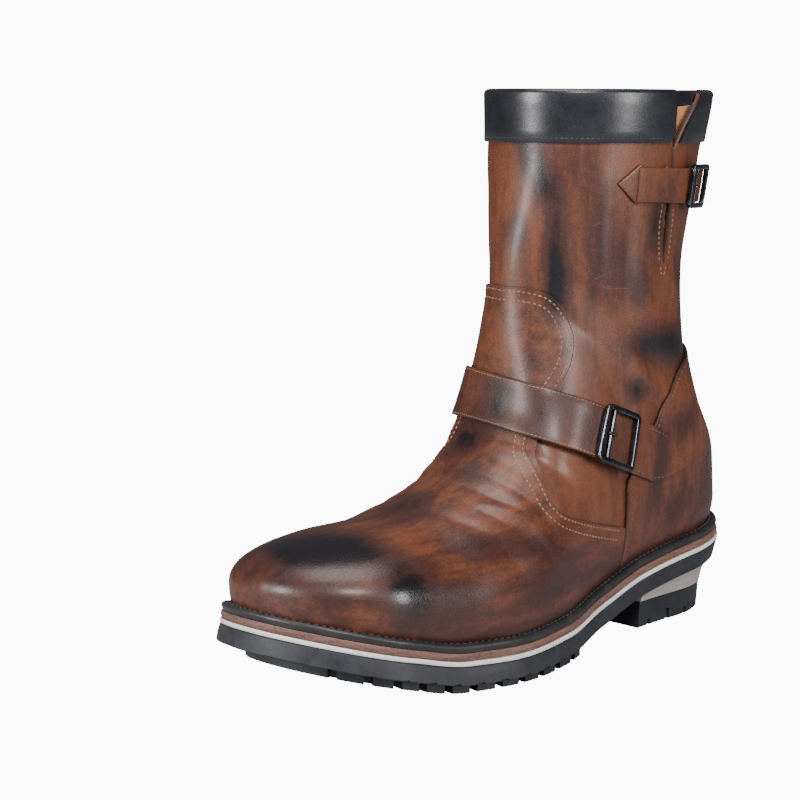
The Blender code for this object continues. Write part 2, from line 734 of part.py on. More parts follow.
def lug_notches():
    """Boxes that part the lugs along both edges."""
    items = []
    for k in range(LUG_COUNT):
        place = TREAD_START + (TREAD_END - TREAD_START) * (k + 0.6) / LUG_COUNT
        y = SOLE_LENGTH * (0.5 - place)
        for side in (1, -1):
            reach = middle(y) + side * half_width(y, side)
            ahead = middle(y - WELT_REACH) + side * half_width(y - WELT_REACH, side)
            turn = math.atan2(float(reach - ahead), WELT_REACH)
            depth = LUG_DEPTH + GROUND_FLAT + 2 * TREAD_INSET
            items.append(((reach - side * 4 * TREAD_INSET, y, wall_bottom(y) + TREAD_INSET - depth),
                          (NOTCH_DEPTH * 2.4, LUG_GROOVE, 2 * depth), -turn))
    return items


def lug_channels():
    """Boxes that part the middle lugs from those at the edges."""
    items = []
    for k in range(1, LUG_COUNT - 1, 2):
        place = TREAD_START + (TREAD_END - TREAD_START) * (k + 1.1) / LUG_COUNT
        y = SOLE_LENGTH * (0.5 - place)
        span = float(half_width(y, 1) + half_width(y, -1)) - 5.2 * NOTCH_DEPTH
        x = float(middle(y) + (half_width(y, 1) - half_width(y, -1)) / 2)
        items.append(((x, y, wall_bottom(y) - LUG_DEPTH), (span, CENTRE_GROOVE, 2 * LUG_DEPTH), 0))
    return items


def add_heel():
    """Grey wedge under the rubber sole and the black lift with its notched edge."""
    sides = ((0.0, STACK_BACK_INSET * 0.9, STACK_SIDE_INSET), (0.5, 0.0066, 0.0032),
             (1.0, HEEL_BACK_INSET * 0.84, HEEL_SIDE_INSET * 0.9))
    top = lambda y: wall_bottom(y) - LAYER_GAP
    foot = LIFT_THICK + LAYER_GAP
    layers = []
    for share, back, side in sides:
        level = lambda y, s=share: top(y) * (1 - s) + foot * s
        layers.append(outline(-back, -side, level, BREAST_Y, 'back'))
    sole_body("heel_stack", layers, "grey_stack")
    lift = sole_body("heel_lift", [
        outline(-HEEL_BACK_INSET * 0.88, -HEEL_SIDE_INSET, lambda y: LIFT_THICK, BREAST_Y, 'back'),
        outline(-HEEL_BACK_INSET, -HEEL_SIDE_INSET * 1.1, lambda y: 0.0, BREAST_Y, 'back')],
        "black_rubber")
    items = []
    for share, tall, wide in NOTCH_TABLE:
        y = BREAST_Y + share * (SOLE_LENGTH / 2 - HEEL_BACK_INSET - BREAST_Y)
        for side in (1, -1):
            reach = side * half_width(y, side, -HEEL_SIDE_INSET)
            back = side * half_width(y + WELT_REACH, side, -HEEL_SIDE_INSET)
            turn = math.atan2(float(back - reach), WELT_REACH)
            items.append(((float(reach), y, 0), (NOTCH_DEPTH, wide, 2 * tall * NOTCH_HEIGHT), -turn))
    combine(lift, boxes("lift_notches", items))


def add_insole():
    """Insole inside the upper's foot."""
    grow = -(WELT_REACH + WALL + 2 * INNER_GAP)
    bottom = WELT_THICK
    sole_body("insole", [outline(grow, grow, below(bottom - INSOLE_THICK)),
                         outline(grow, grow, below(bottom))], "tan_leather")


def prism(name, path, near_x, far_x):
    """Cutter through a side wall: path rows are (y, z) of one edge and (y, z) of the other."""
    loops = [[(near_x, a, b), (far_x, a, b), (far_x, c, d), (near_x, c, d)] for a, b, c, d in path]
    made = loft(name, loops, None, smooth=False)
    made.hide_render = True
    made.display_type = 'WIRE'
    return made


def zip_point(t):
    """(y, z) on the zip line, t from 0 at its foot to 1 at the collar."""
    place = np.linspace(0, 1, len(ZIP_TABLE))
    y = ease(t, place, [row[0] for row in ZIP_TABLE]) * SOLE_LENGTH
    z = ease(t, place, [row[1] for row in ZIP_TABLE]) * SHAFT_HEIGHT
    return np.array([float(y), float(z)])


def zip_across(t):
    """Unit vector square to the zip line in the side view, towards the heel."""
    step = zip_point(min(t + 0.01, 1.0)) - zip_point(max(t - 0.01, 0.0))
    step /= np.linalg.norm(step)
    return np.array([step[1], -step[0]])


def slit_edges(depth):
    """The slit's front and rear y at a depth share down from the collar."""
    return (slit_y() + float(column(SLIT_TABLE, 1, depth)) * SLIT_MOUTH,
            slit_y() + float(column(SLIT_TABLE, 2, depth)) * SLIT_MOUTH)


def slit_height(depth):
    return rim_height(BALL_WIDTH * 0.4, slit_y()) - depth * SLIT_DEPTH


def add_upper(form):
    """Hollow upper: one wall, open at the collar, the slit, the zip and underneath."""
    points = form.points[::SUBSTEPS, ::SUBSTEPS].copy()
    normals = form.normals[::SUBSTEPS, ::SUBSTEPS].copy()
    last = form.feather_row // SUBSTEPS
    skirt = []
    for col in (0, -1):
        foot, bend = points[:, col].copy(), normals[:, col].copy()
        foot[:last + 1, 2] -= WELT_THICK - PIECE_GAP
        bend[:last + 1, 2] = 0
        skirt.append((foot[:, None], bend[:, None]))
    points = np.concatenate([skirt[0][0], points, skirt[1][0]], 1)
    normals = np.concatenate([skirt[0][1], normals, skirt[1][1]], 1)
    columns = points.shape[1]
    skip = {(i, j) for i in range(last, len(points)) for j in (0, columns - 2)}
    upper = shell("upper", points, normals, -WALL, 0.0, "burnished_leather", skip)
    depths = [row[0] for row in SLIT_TABLE]
    path = [(slit_edges(d)[0], slit_height(d), slit_edges(d)[1], slit_height(d)) for d in depths]
    combine(upper, prism("slit_cut", path, BALL_WIDTH * 0.2, BALL_WIDTH * 0.7))
    path = []
    for t in np.linspace(0, 1, 12):
        centre, across = zip_point(t), zip_across(t) * ZIP_SLOT / 2
        path.append((*(centre - across), *(centre + across)))
    rise = np.array([0, SHAFT_HEIGHT * 0.05, 0, SHAFT_HEIGHT * 0.05])
    path.append(tuple(np.array(path[-1]) + rise))
    combine(upper, prism("zip_cut", path, -BALL_WIDTH * 0.7, -BALL_WIDTH * 0.2))


def overlay_shell(form, name, near, thick):
    """Shell all over the upper, from which an overlay is cut."""
    points = form.points[::SUBSTEPS, ::SUBSTEPS]
    normals = form.normals[::SUBSTEPS, ::SUBSTEPS]
    return shell(name, points, normals, near, near + thick, "burnished_leather")


def foot_line(back, front):
    """Side-view points just over the welt from back to front."""
    ys = [y for y in stations(SOLE_LENGTH / 2, -SOLE_LENGTH / 2, 'both') if front < y < back]
    return [(y, float(seat(y)) + PIECE_GAP) for y in [back, *ys, front]]


def side_cutter(name, levels):
    """Cutter through the boot from side-view outlines at several x."""
    loops = [[(x, y, z) for y, z in outline_points] for x, outline_points in levels]
    made = loft(name, loops, None, smooth=False)
    made.hide_render = True
    made.display_type = 'WIRE'
    return made


def edge_curve(side):
    """The vamp's edge on one side, smoothed through its table."""
    marks = np.arange(len(VAMP_EDGE))
    fine = np.linspace(0, marks[-1], EDGE_STEPS * marks[-1] + 1)
    first = 0 if side > 0 else 2
    ys = ease(fine, marks, [row[first] for row in VAMP_EDGE]) * SOLE_LENGTH
    zs = ease(fine, marks, [row[first + 1] for row in VAMP_EDGE]) * SHAFT_HEIGHT
    return list(zip(ys, zs))


def add_vamp(form):
    """Vamp and tongue in one piece, cut from a shell over the upper."""
    vamp = overlay_shell(form, "vamp", CURVE_GAP, VAMP_THICK)
    ahead = -0.6 * SOLE_LENGTH
    seam = SOLE_LENGTH * VAMP_EDGE[-1][0]
    levels = []
    for x, side in ((BALL_WIDTH, 1), (BALL_WIDTH * 0.36, 1), (-BALL_WIDTH * 0.36, -1),
                    (-BALL_WIDTH, -1)):
        levels.append((x, [(ahead, SHAFT_HEIGHT * VAMP_EDGE[0][1]), *edge_curve(side),
                           *foot_line(seam, -SOLE_LENGTH / 2), (ahead, float(seat(ahead)))]))
    combine(vamp, side_cutter("vamp_cut", levels), 'INTERSECT')


def add_counter(form):
    """Heel counter, cut from a shell over the upper."""
    counter = overlay_shell(form, "counter", CURVE_GAP, COUNTER_THICK)
    behind = 0.6 * SOLE_LENGTH
    seam = SOLE_LENGTH * SEAM_PLACE
    ys = np.linspace(seam, SOLE_LENGTH / 2, 12)
    top = [(y, float(column(COUNTER_TABLE, 1, y / SOLE_LENGTH)) * SHAFT_HEIGHT) for y in ys]
    outline_points = [*foot_line(SOLE_LENGTH / 2, seam), *top, (behind, top[-1][1]),
                      (behind, float(seat(SOLE_LENGTH / 2)) + PIECE_GAP)]
    levels = [(x, outline_points) for x in (-BALL_WIDTH, BALL_WIDTH)]
    combine(counter, side_cutter("counter_cut", levels), 'INTERSECT')


def rim_spot(form, angle, depth, offset):
    """Point at an angle round the shaft, a depth below the rim."""
    half_deep = SOLE_LENGTH * (UPPER_TABLE[-1][3] - UPPER_TABLE[-1][0]) / 2
    half_wide = BALL_WIDTH * UPPER_TABLE[-1][5]
    point = np.array([half_wide * math.cos(angle), COLLAR_CENTRE + half_deep * math.sin(angle), 0.0])
    for _ in range(3):
        height = rim_height(point[0], point[1])
        origin = (0, COLLAR_CENTRE, height - max(depth, RIM_MARGIN))
        point, normal = form.hit(origin, (math.cos(angle), math.sin(angle), 0))
    point = point + normal * offset
    point[2] = rim_height(point[0], point[1]) - depth
    return point


def rim_angle(form, y, depth, side):
    """Angle round the shaft at which its wall passes y."""
    height = rim_height(side * BALL_WIDTH * 0.43, y) - max(depth, RIM_MARGIN)
    point = form.side(y, height, side, 0)
    return math.atan2(point[1] - COLLAR_CENTRE, point[0])


def band_section(form, share, reach, ends, drop):
    """Section of the collar band at a share of its run: a channel over the rim."""
    outer = BAND_GAP + BAND_THICK
    inner = WALL + 1.8 * BAND_GAP
    path = ((reach, outer), (reach / 2, outer), (-outer, outer), (-outer, -inner - BAND_THICK),
            (drop, -inner - BAND_THICK), (drop, -inner), (-BAND_GAP, -inner),
            (-BAND_GAP, BAND_GAP), (reach / 2, BAND_GAP), (reach, BAND_GAP))
    loop = []
    for depth, offset in path:
        start, end = ends(max(depth, 0.0))
        loop.append(rim_spot(form, start + (end - start) * share, depth, offset))
    return loop


def add_collar_bands(form):
    """Smooth band over the rim, in front of the slit and behind it, parted at the zip."""
    clear = PIECE_GAP

    def zip_angle(depth, side):
        t = (SHAFT_HEIGHT - depth) / SHAFT_HEIGHT
        heights = [row[1] for row in ZIP_TABLE]
        y = float(ease(t, heights, [row[0] for row in ZIP_TABLE])) * SOLE_LENGTH
        angle = rim_angle(form, y + side * (ZIP_SLOT / 2 + clear), depth, -1)
        return angle - 2 * math.pi if angle > 0 and side < 0 else angle

    def front_ends(depth):
        edge = slit_edges(depth / SLIT_DEPTH)[0] - clear
        return rim_angle(form, edge, depth, 1), zip_angle(depth, -1)

    def rear_ends(depth):
        edge = slit_edges(depth / SLIT_DEPTH)[1] + clear
        return rim_angle(form, edge, depth, 1), zip_angle(depth, 1)

    for name, ends, corner in (("collar_band_front", front_ends, True),
                               ("collar_band_rear", rear_ends, False)):
        start, end = ends(0.0)
        run = abs(end - start) * BALL_WIDTH / 2
        places = [0.0, 0.006, 0.018, BAND_CORNER / run] if corner else [0.0]
        places += list(np.linspace(0, 1, BAND_COLUMNS + 1)[1:])
        loops = []
        for share in places:
            along = min(share * run / BAND_CORNER, 1.0) if corner else 1.0
            rise = BAND_CORNER * (1 - math.sqrt(1 - (1 - along) ** 2))
            loops.append(band_section(form, share, BAND_HEIGHT - rise, ends, BAND_INSIDE))
        loft(name, loops, "black_leather")


def side_sheet(name, form, side, rows, across, far, thick, finish):
    """Sheet on the wall from rows of (y, z) points and the step (y, z) across it."""
    outer, inner = [], []
    for (y, z), (dy, dz) in rows:
        spots = [(y + dy * w, z + dz * w) for w in np.linspace(-0.5, 0.5, across + 1)]
        outer.append([form.side(a, b, side, far) for a, b in spots])
        inner.append([form.side(a, b, side, far - thick) for a, b in spots])
    return patch(name, outer, inner, finish)


def add_gusset(form):
    """Flesh-side leather behind the slit."""
    rows = []
    for depth in np.linspace(1.12, 0.0, 6):
        front, rear = slit_edges(min(depth, 1.0))
        height = slit_height(depth) - (GUSSET_DROP if depth == 0 else 0)
        rows.append((((front + rear) / 2, height), (rear - front + 2 * GUSSET_REACH, 0)))
    side_sheet("gusset", form, 1, rows, 6, -WALL - 2 * INNER_GAP, GUSSET_THICK, "tan_leather")


def add_zip(form):
    """Tape behind the wall, teeth in the slot and a slider near the collar with its pull tab."""
    lengths = [SHAFT_HEIGHT - ZIP_TOP_DROP - SLIDER_LENGTH / 2, SHAFT_HEIGHT - ZIP_TAPE_DROP]
    tops = [np.interp(z / SHAFT_HEIGHT, [row[1] for row in ZIP_TABLE],
                      np.linspace(0, 1, len(ZIP_TABLE))) for z in lengths]
    rows = [(zip_point(t), zip_across(t) * ZIP_TEETH_WIDTH) for t in np.linspace(0.012, tops[0], 15)]
    side_sheet("zip_teeth", form, -1, rows, 1, -WALL + ZIP_TEETH_THICK, ZIP_TEETH_THICK, "zip_steel")
    rows = [(zip_point(t), zip_across(t) * ZIP_TAPE_WIDTH) for t in np.linspace(-0.0, tops[1], 15)]
    rows[0] = (zip_point(0) - (0, ZIP_TAPE_WIDTH / 4), rows[0][1])
    side_sheet("zip_tape", form, -1, rows, 3, -WALL - INNER_GAP, ZIP_TAPE_THICK, "black_tape")


def slider_frame(form):
    """Foot of the pull tab's hinge on the wall and how far out its bar lies."""
    height = SHAFT_HEIGHT - ZIP_TOP_DROP
    place = np.interp(height / SHAFT_HEIGHT, [row[1] for row in ZIP_TABLE],
                      np.linspace(0, 1, len(ZIP_TABLE)))
    y = float(zip_point(place)[0])
    return form.side(y, height, -1, 0)


def add_slider(form):
    """Slider on the teeth with the bridge that holds the pull tab."""
    foot = slider_frame(form)
    floor = foot[0] + WALL - ZIP_TEETH_THICK - PIECE_GAP
    x = floor - SLIDER_THICK / 2
    y, z = foot[1], foot[2]
    slider = solid("zip_slider", *box((x, y, z), (SLIDER_THICK, SLIDER_WIDTH, SLIDER_LENGTH)),
                   "zip_steel")
    bridge_tall = TAB_THICK + 3 * TAB_PLAY + BRIDGE_WIRE
    reach = TAB_THICK + 2 * TAB_PLAY
    bridge_x = x - SLIDER_THICK / 2 - bridge_tall / 2 + BRIDGE_WIRE / 4
    bridge = cutter("bridge", *box((bridge_x, y, z), (bridge_tall + BRIDGE_WIRE / 2, BRIDGE_WIRE,
                                                      reach + 2 * BRIDGE_WIRE)))
    combine(slider, bridge, 'UNION')
    pivot = np.array([x - SLIDER_THICK / 2 - TAB_PLAY - TAB_THICK / 2, y, z])
    opening = cutter("bridge_opening", *box((pivot[0], y, z), (reach, BRIDGE_WIRE * 3, reach)))
    combine(slider, opening)
    return pivot


def add_pull_tab(pivot):
    """Pull tab that hangs from the slider's bridge; its origin is the hinge's axis."""
    eye = BRIDGE_WIRE + 2 * TAB_PLAY
    drop = TAB_THICK / 2
    plate = solid("zip_pull_tab", *box((0, 0, drop - TAB_LENGTH / 2),
                                       (TAB_THICK, TAB_WIDTH, TAB_LENGTH)), "zip_steel")
    window = cutter("tab_window", *box((0, 0, -drop - TAB_EYE / 2), (TAB_THICK * 3, eye, TAB_EYE)))
    combine(plate, window)
    for side in (1, -1):
        loop = [(0, side * TAB_WIDTH * 0.36, -drop - TAB_EYE - TAB_THICK),
                (0, side * TAB_WIDTH * 0.36, -TAB_LENGTH * 0.72),
                (0, side * TAB_WIDTH * 0.50, -TAB_LENGTH),
                (0, side * TAB_WIDTH, -TAB_LENGTH),
                (0, side * TAB_WIDTH, -drop - TAB_EYE - TAB_THICK)]
        loops = [[(x, b, c) for _, b, c in loop] for x in (-TAB_THICK, TAB_THICK)]
        trim = loft("tab_trim_outer" if side > 0 else "tab_trim_inner", loops, None, smooth=False)
        trim.hide_render = True
        trim.display_type = 'WIRE'
        trim.parent = plate
        combine(plate, trim)
    window.parent = plate
    plate.location = pivot
    return plate


class Belt:
    """Places on the form along a strap that lies in one tilted plane round an inner point."""

    def __init__(self, form, centre, slope, cant):
        self.form, self.centre = form, np.array(centre, float)
        self.out = np.array([1, 0, cant]) / math.hypot(1, cant)
        self.back = np.array([0, 1, slope]) / math.hypot(1, slope)
        self.up = np.cross(self.out, self.back)
        self.angles = np.radians(np.arange(-215, 181, 3))
        spots = np.array([self.ray(a, 0)[0] for a in self.angles])
        steps = np.linalg.norm(np.diff(spots, axis=0), axis=1)
        self.lengths = np.r_[0, np.cumsum(steps)]
        self.spots = spots

    def ray(self, angle, across):
        way = math.cos(angle) * self.out + math.sin(angle) * self.back
        return self.form.hit(self.centre + self.up * across, way)

    def mark(self, y, side=1):
        """Length along the belt at which one side of it passes y."""
        outer = (self.angles >= -math.pi / 2) & (self.angles <= math.pi / 2)
        chosen = outer if side > 0 else self.angles < -math.pi / 2
        ys, lengths = self.spots[chosen, 1], self.lengths[chosen]
        order = np.argsort(ys)
        return float(np.interp(y, ys[order], lengths[order]))

    def spot(self, along, across, offset):
        point, normal = self.ray(float(np.interp(along, self.lengths, self.angles)), across)
        return point + normal * offset

    def ribbon(self, name, rows, finish, across=4):
        """Strap from rows of (length along, width share, near and far offset) and its width."""
        outer, inner = [], []
        for along, width, near, far in rows:
            cross = np.linspace(-width / 2, width / 2, across + 1)
            outer.append([self.spot(along, w, far) for w in cross])
            inner.append([self.spot(along, w, near) for w in cross])
        return patch(name, outer, inner, finish)


def tube(name, path, normals, radius, finish, closed, squash=1.0):
    """Round bar along a path; squash flattens it along the normals."""
    path, normals = np.array(path), np.array(normals)
    loops = []
    for k, (point, normal) in enumerate(zip(path, normals)):
        after = path[(k + 1) % len(path)] if closed else path[min(k + 1, len(path) - 1)]
        before = path[k - 1] if closed else path[max(k - 1, 0)]
        along = (after - before) / np.linalg.norm(after - before)
        across = np.cross(along, normal)
        across /= np.linalg.norm(across)
        out = np.cross(across, along)
        turns = np.arange(WIRE_SIDES) * 2 * math.pi / WIRE_SIDES
        loops.append([point + radius * (across * math.cos(t) + out * squash * math.sin(t))
                      for t in turns])
    return loft(name, loops, finish, closed=not closed)


def add_buckle(belt, name, start, length, width, wire, base):
    """Frame of a buckle on its strap, with a second bar beside its front bar, and the prong."""
    radius = wire / 2
    lift = base + PIECE_GAP + radius
    corner = wire
    half_long, half_wide = length / 2 - radius, width / 2 - radius
    outline_points = []
    for quarter, (sx, sy) in enumerate(((1, 1), (-1, 1), (-1, -1), (1, -1))):
        for step in range(BUCKLE_CORNER + 1):
            turn = math.pi / 2 * (quarter + step / BUCKLE_CORNER)
            outline_points.append((sx * (half_long - corner) + corner * math.cos(turn),
                                   sy * (half_wide - corner) + corner * math.sin(turn)))
        ahead = ((-1, 1), (-1, -1), (1, -1), (1, 1))[quarter]
        here = outline_points[-1]
        turn = math.pi / 2 * (quarter + 1)
        there = (ahead[0] * (half_long - corner) + corner * math.cos(turn),
                 ahead[1] * (half_wide - corner) + corner * math.sin(turn))
        for share in (0.33, 0.67):
            outline_points.append((here[0] + (there[0] - here[0]) * share,
                                   here[1] + (there[1] - here[1]) * share))
    centre = start + length / 2

    def spot(along, across, offset=lift):
        point, normal = belt.ray(float(np.interp(centre + along, belt.lengths, belt.angles)), across)
        return point + normal * offset, normal

    path = [spot(*p) for p in outline_points]
    frame = tube(name + "_buckle", [p for p, _ in path], [n for _, n in path], radius,
                 "gunmetal", True)
    bar_place = -half_long + wire * 0.92
    bar_path = [spot(bar_place, w) for w in np.linspace(-half_wide, half_wide, 6)]
    bar = tube(name + "_bar", [p for p, _ in bar_path], [n for _, n in bar_path], radius * 0.86,
               None, False)
    bar.hide_render = True
    bar.display_type = 'WIRE'
    combine(frame, bar, 'UNION')
    pin = wire * 0.4
    high, low = lift + radius + PIECE_GAP + pin, base + PIECE_GAP + pin
    prong_path = [spot(bar_place - wire * 0.4, 0, high), spot(bar_place + wire * 0.5, 0, high),
                  spot(bar_place + wire * 1.2, 0, (high + low) / 2),
                  spot(bar_place + wire * 1.5, 0, low)]
    tube(name + "_prong", [p for p, _ in prong_path], [n for _, n in prong_path], pin,
         "gunmetal", False)


def add_instep_strap(form):
    """Strap over the instep, its sewn anchor with a pointed end, and the buckle between them."""
    middle_y = SOLE_LENGTH * INSTEP_AXIS
    height = SHAFT_HEIGHT * INSTEP_STRAP_RISE + INSTEP_STRAP_TILT * middle_y
    belt = Belt(form, (0, middle_y, height), INSTEP_STRAP_TILT, INSTEP_STRAP_CANT)
    ground = CURVE_GAP + VAMP_THICK + BAND_GAP
    raised = ground + ANCHOR_THICK + CURVE_GAP
    zip_front = SOLE_LENGTH * ZIP_TABLE[0][0] - ZIP_SLOT / 2 - 4 * PIECE_GAP
    first = belt.mark(zip_front, -1)
    buckle_start = belt.mark(SOLE_LENGTH * INSTEP_BUCKLE_PLACE)
    end = buckle_start + INSTEP_BUCKLE_LENGTH - BUCKLE_SLACK
    anchor_start = buckle_start + INSTEP_BUCKLE_LENGTH * 0.25
    rows = []
    for along in np.linspace(first, end, 20):
        near = ground + (raised - ground) * float(smooth_step(
            (along - anchor_start + 1.2 * INSTEP_STRAP_WIDTH) / (0.7 * INSTEP_STRAP_WIDTH)))
        rows.append((along, INSTEP_STRAP_WIDTH, near, near + STRAP_THICK))
    belt.ribbon("instep_strap", rows, "burnished_leather")
    shoulder = belt.mark(SOLE_LENGTH * ANCHOR_SHOULDER)
    tip = shoulder + INSTEP_STRAP_WIDTH * 0.92
    rows = [(along, INSTEP_STRAP_WIDTH * 1.02, ground, ground + ANCHOR_THICK)
            for along in np.linspace(anchor_start, shoulder, 6)]
    for share in (0.35, 0.7, 0.99):
        rows.append((shoulder + (tip - shoulder) * share, INSTEP_STRAP_WIDTH * 1.02 * (1 - share ** 1.3),
                     ground, ground + ANCHOR_THICK))
    belt.ribbon("strap_anchor", rows, "burnished_leather")
    add_buckle(belt, "instep", buckle_start, INSTEP_BUCKLE_LENGTH, INSTEP_STRAP_WIDTH + INSTEP_BUCKLE_WIRE,
               INSTEP_BUCKLE_WIRE, raised + STRAP_THICK)


def add_top_strap(form):
    """Short strap across the slit with its pointed sewn end, buckle and rear anchor."""
    height = SHAFT_HEIGHT * TOP_STRAP_RISE + TOP_STRAP_TILT * COLLAR_CENTRE
    belt = Belt(form, (0, COLLAR_CENTRE, height), TOP_STRAP_TILT, 0.0)
    ground = CURVE_GAP
    raised = ground + ANCHOR_THICK + CURVE_GAP
    tip = belt.mark(SOLE_LENGTH * TOP_STRAP_TIP)
    square = tip + TOP_STRAP_WIDTH * 0.62
    buckle_start = belt.mark(SOLE_LENGTH * TOP_BUCKLE_PLACE)
    end = buckle_start + TOP_BUCKLE_LENGTH - BUCKLE_SLACK
    anchor_start = buckle_start + TOP_BUCKLE_LENGTH * 0.25
    width = TOP_STRAP_WIDTH
    rows = [(tip + (square - tip) * share, width * 1.05 * share + 2 * PIECE_GAP, ground,
             ground + STRAP_THICK * 0.5) for share in (0.0, 0.5, 0.97)]
    for along in np.linspace(square, end, 10):
        near = ground + (raised - ground) * float(smooth_step(
            (along - anchor_start + 1.3 * width) / (0.9 * width)))
        rows.append((along, width, near, near + STRAP_THICK))
    belt.ribbon("top_strap", rows, "burnished_leather")
    shoulder = buckle_start + TOP_BUCKLE_LENGTH * 1.6
    rows = [(along, width, ground, ground + ANCHOR_THICK)
            for along in np.linspace(anchor_start, shoulder, 6)]
    for share in (0.5, 0.98):
        rows.append((shoulder + width * 0.6 * share, width * (1 - share), ground,
                     ground + ANCHOR_THICK))
    belt.ribbon("top_strap_anchor", rows, "burnished_leather")
    add_buckle(belt, "top", buckle_start, TOP_BUCKLE_LENGTH, width + 1.7 * TOP_BUCKLE_WIRE,
               TOP_BUCKLE_WIRE, raised + STRAP_THICK)


def settle():
    """Move everything so that the origin lies on the floor under the middle of the boot."""
    bpy.context.view_layer.update()
    graph = bpy.context.evaluated_depsgraph_get()
    corners = []
    for made in bpy.context.scene.objects:
        if made.type == 'MESH' and not made.hide_render:
            whole = made.evaluated_get(graph)
            corners += [whole.matrix_world @ v.co for v in whole.data.vertices]
    low = np.min(corners, 0)
    high = np.max(corners, 0)
    shift = Vector((-(low[0] + high[0]) / 2, -(low[1] + high[1]) / 2, -low[2]))
    for made in bpy.context.scene.objects:
        if made.parent is None:
            made.location += shift
    bpy.context.view_layer.update()


def main():
    for old in list(bpy.data.objects):
        bpy.data.objects.remove(old, do_unlink=True)
    form = Form(flared=True)
    add_sole_layers()
    add_outsole()
    add_heel()
    add_insole()
    add_upper(form)
    add_vamp(form)
    add_counter(form)
    add_gusset(form)
    add_collar_bands(form)
    add_instep_strap(form)
    add_top_strap(form)
    add_zip(form)
    add_pull_tab(add_slider(form))
    settle()


main()
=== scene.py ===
# %% [markdown]
# # A burnished engineer boot
# This lesson dresses the CAD model of one boot, the left one of a pair. The CAD solids are the
# fixed frame: every piece below lies where its solid lies, in metres, with +Z up and -Y towards
# the toe.

# %% Load the boot's frame
import math

import bmesh
import bpy
import numpy as np
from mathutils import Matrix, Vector
from mathutils.bvhtree import BVHTree


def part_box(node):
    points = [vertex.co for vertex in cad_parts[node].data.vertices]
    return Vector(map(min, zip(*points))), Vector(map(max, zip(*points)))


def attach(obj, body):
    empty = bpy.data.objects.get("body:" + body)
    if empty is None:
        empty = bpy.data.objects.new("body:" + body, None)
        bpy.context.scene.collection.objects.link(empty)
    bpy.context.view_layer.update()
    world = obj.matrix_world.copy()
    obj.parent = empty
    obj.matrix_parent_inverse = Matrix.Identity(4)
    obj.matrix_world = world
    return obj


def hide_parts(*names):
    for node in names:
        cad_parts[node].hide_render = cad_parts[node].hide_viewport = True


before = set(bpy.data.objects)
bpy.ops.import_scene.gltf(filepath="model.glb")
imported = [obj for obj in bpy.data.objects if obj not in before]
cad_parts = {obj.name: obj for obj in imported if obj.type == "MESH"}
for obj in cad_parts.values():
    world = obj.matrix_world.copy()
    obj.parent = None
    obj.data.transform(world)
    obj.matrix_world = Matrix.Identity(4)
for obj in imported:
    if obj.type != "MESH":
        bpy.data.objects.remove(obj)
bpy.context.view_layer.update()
bpy.ops.object.select_all(action='DESELECT')

# %% [markdown]
# ## The last
# A boot is made over a last, and all its leather takes the last's shape. A cube pushed and
# pulled into a foot would never match the solids, so the last is made another way: as a grid of
# points, from the same few sizes as the CAD. Each row of the grid is one section of the foot,
# turned like the leaves of a fan from the toe up to the collar.

# %% Sizes and tables of the last
SOLE_LENGTH = 0.305
BALL_WIDTH = 0.113
HEEL_SEAT = 0.0485
SHAFT_HEIGHT = 0.266
TOE_SHIFT = -0.008
TOE_SPRING = 0.0195
WELT_REACH = 0.0060
LAYERS = (0.0038, 0.0035, 0.0022, 0.0086)
LAYER_GAP = 0.0003
LUG_DEPTH = 0.0045
WALL = 0.0022
PIECE_GAP = 0.0003
BALL_TOP = sum(LAYERS) + 3 * LAYER_GAP + LUG_DEPTH
FEATHER_HALF = SOLE_LENGTH / 2 - WELT_REACH
HEEL_END, TOE_END, END_POWER, END_ROOT = 0.14, 0.20, 2.2, 2.1

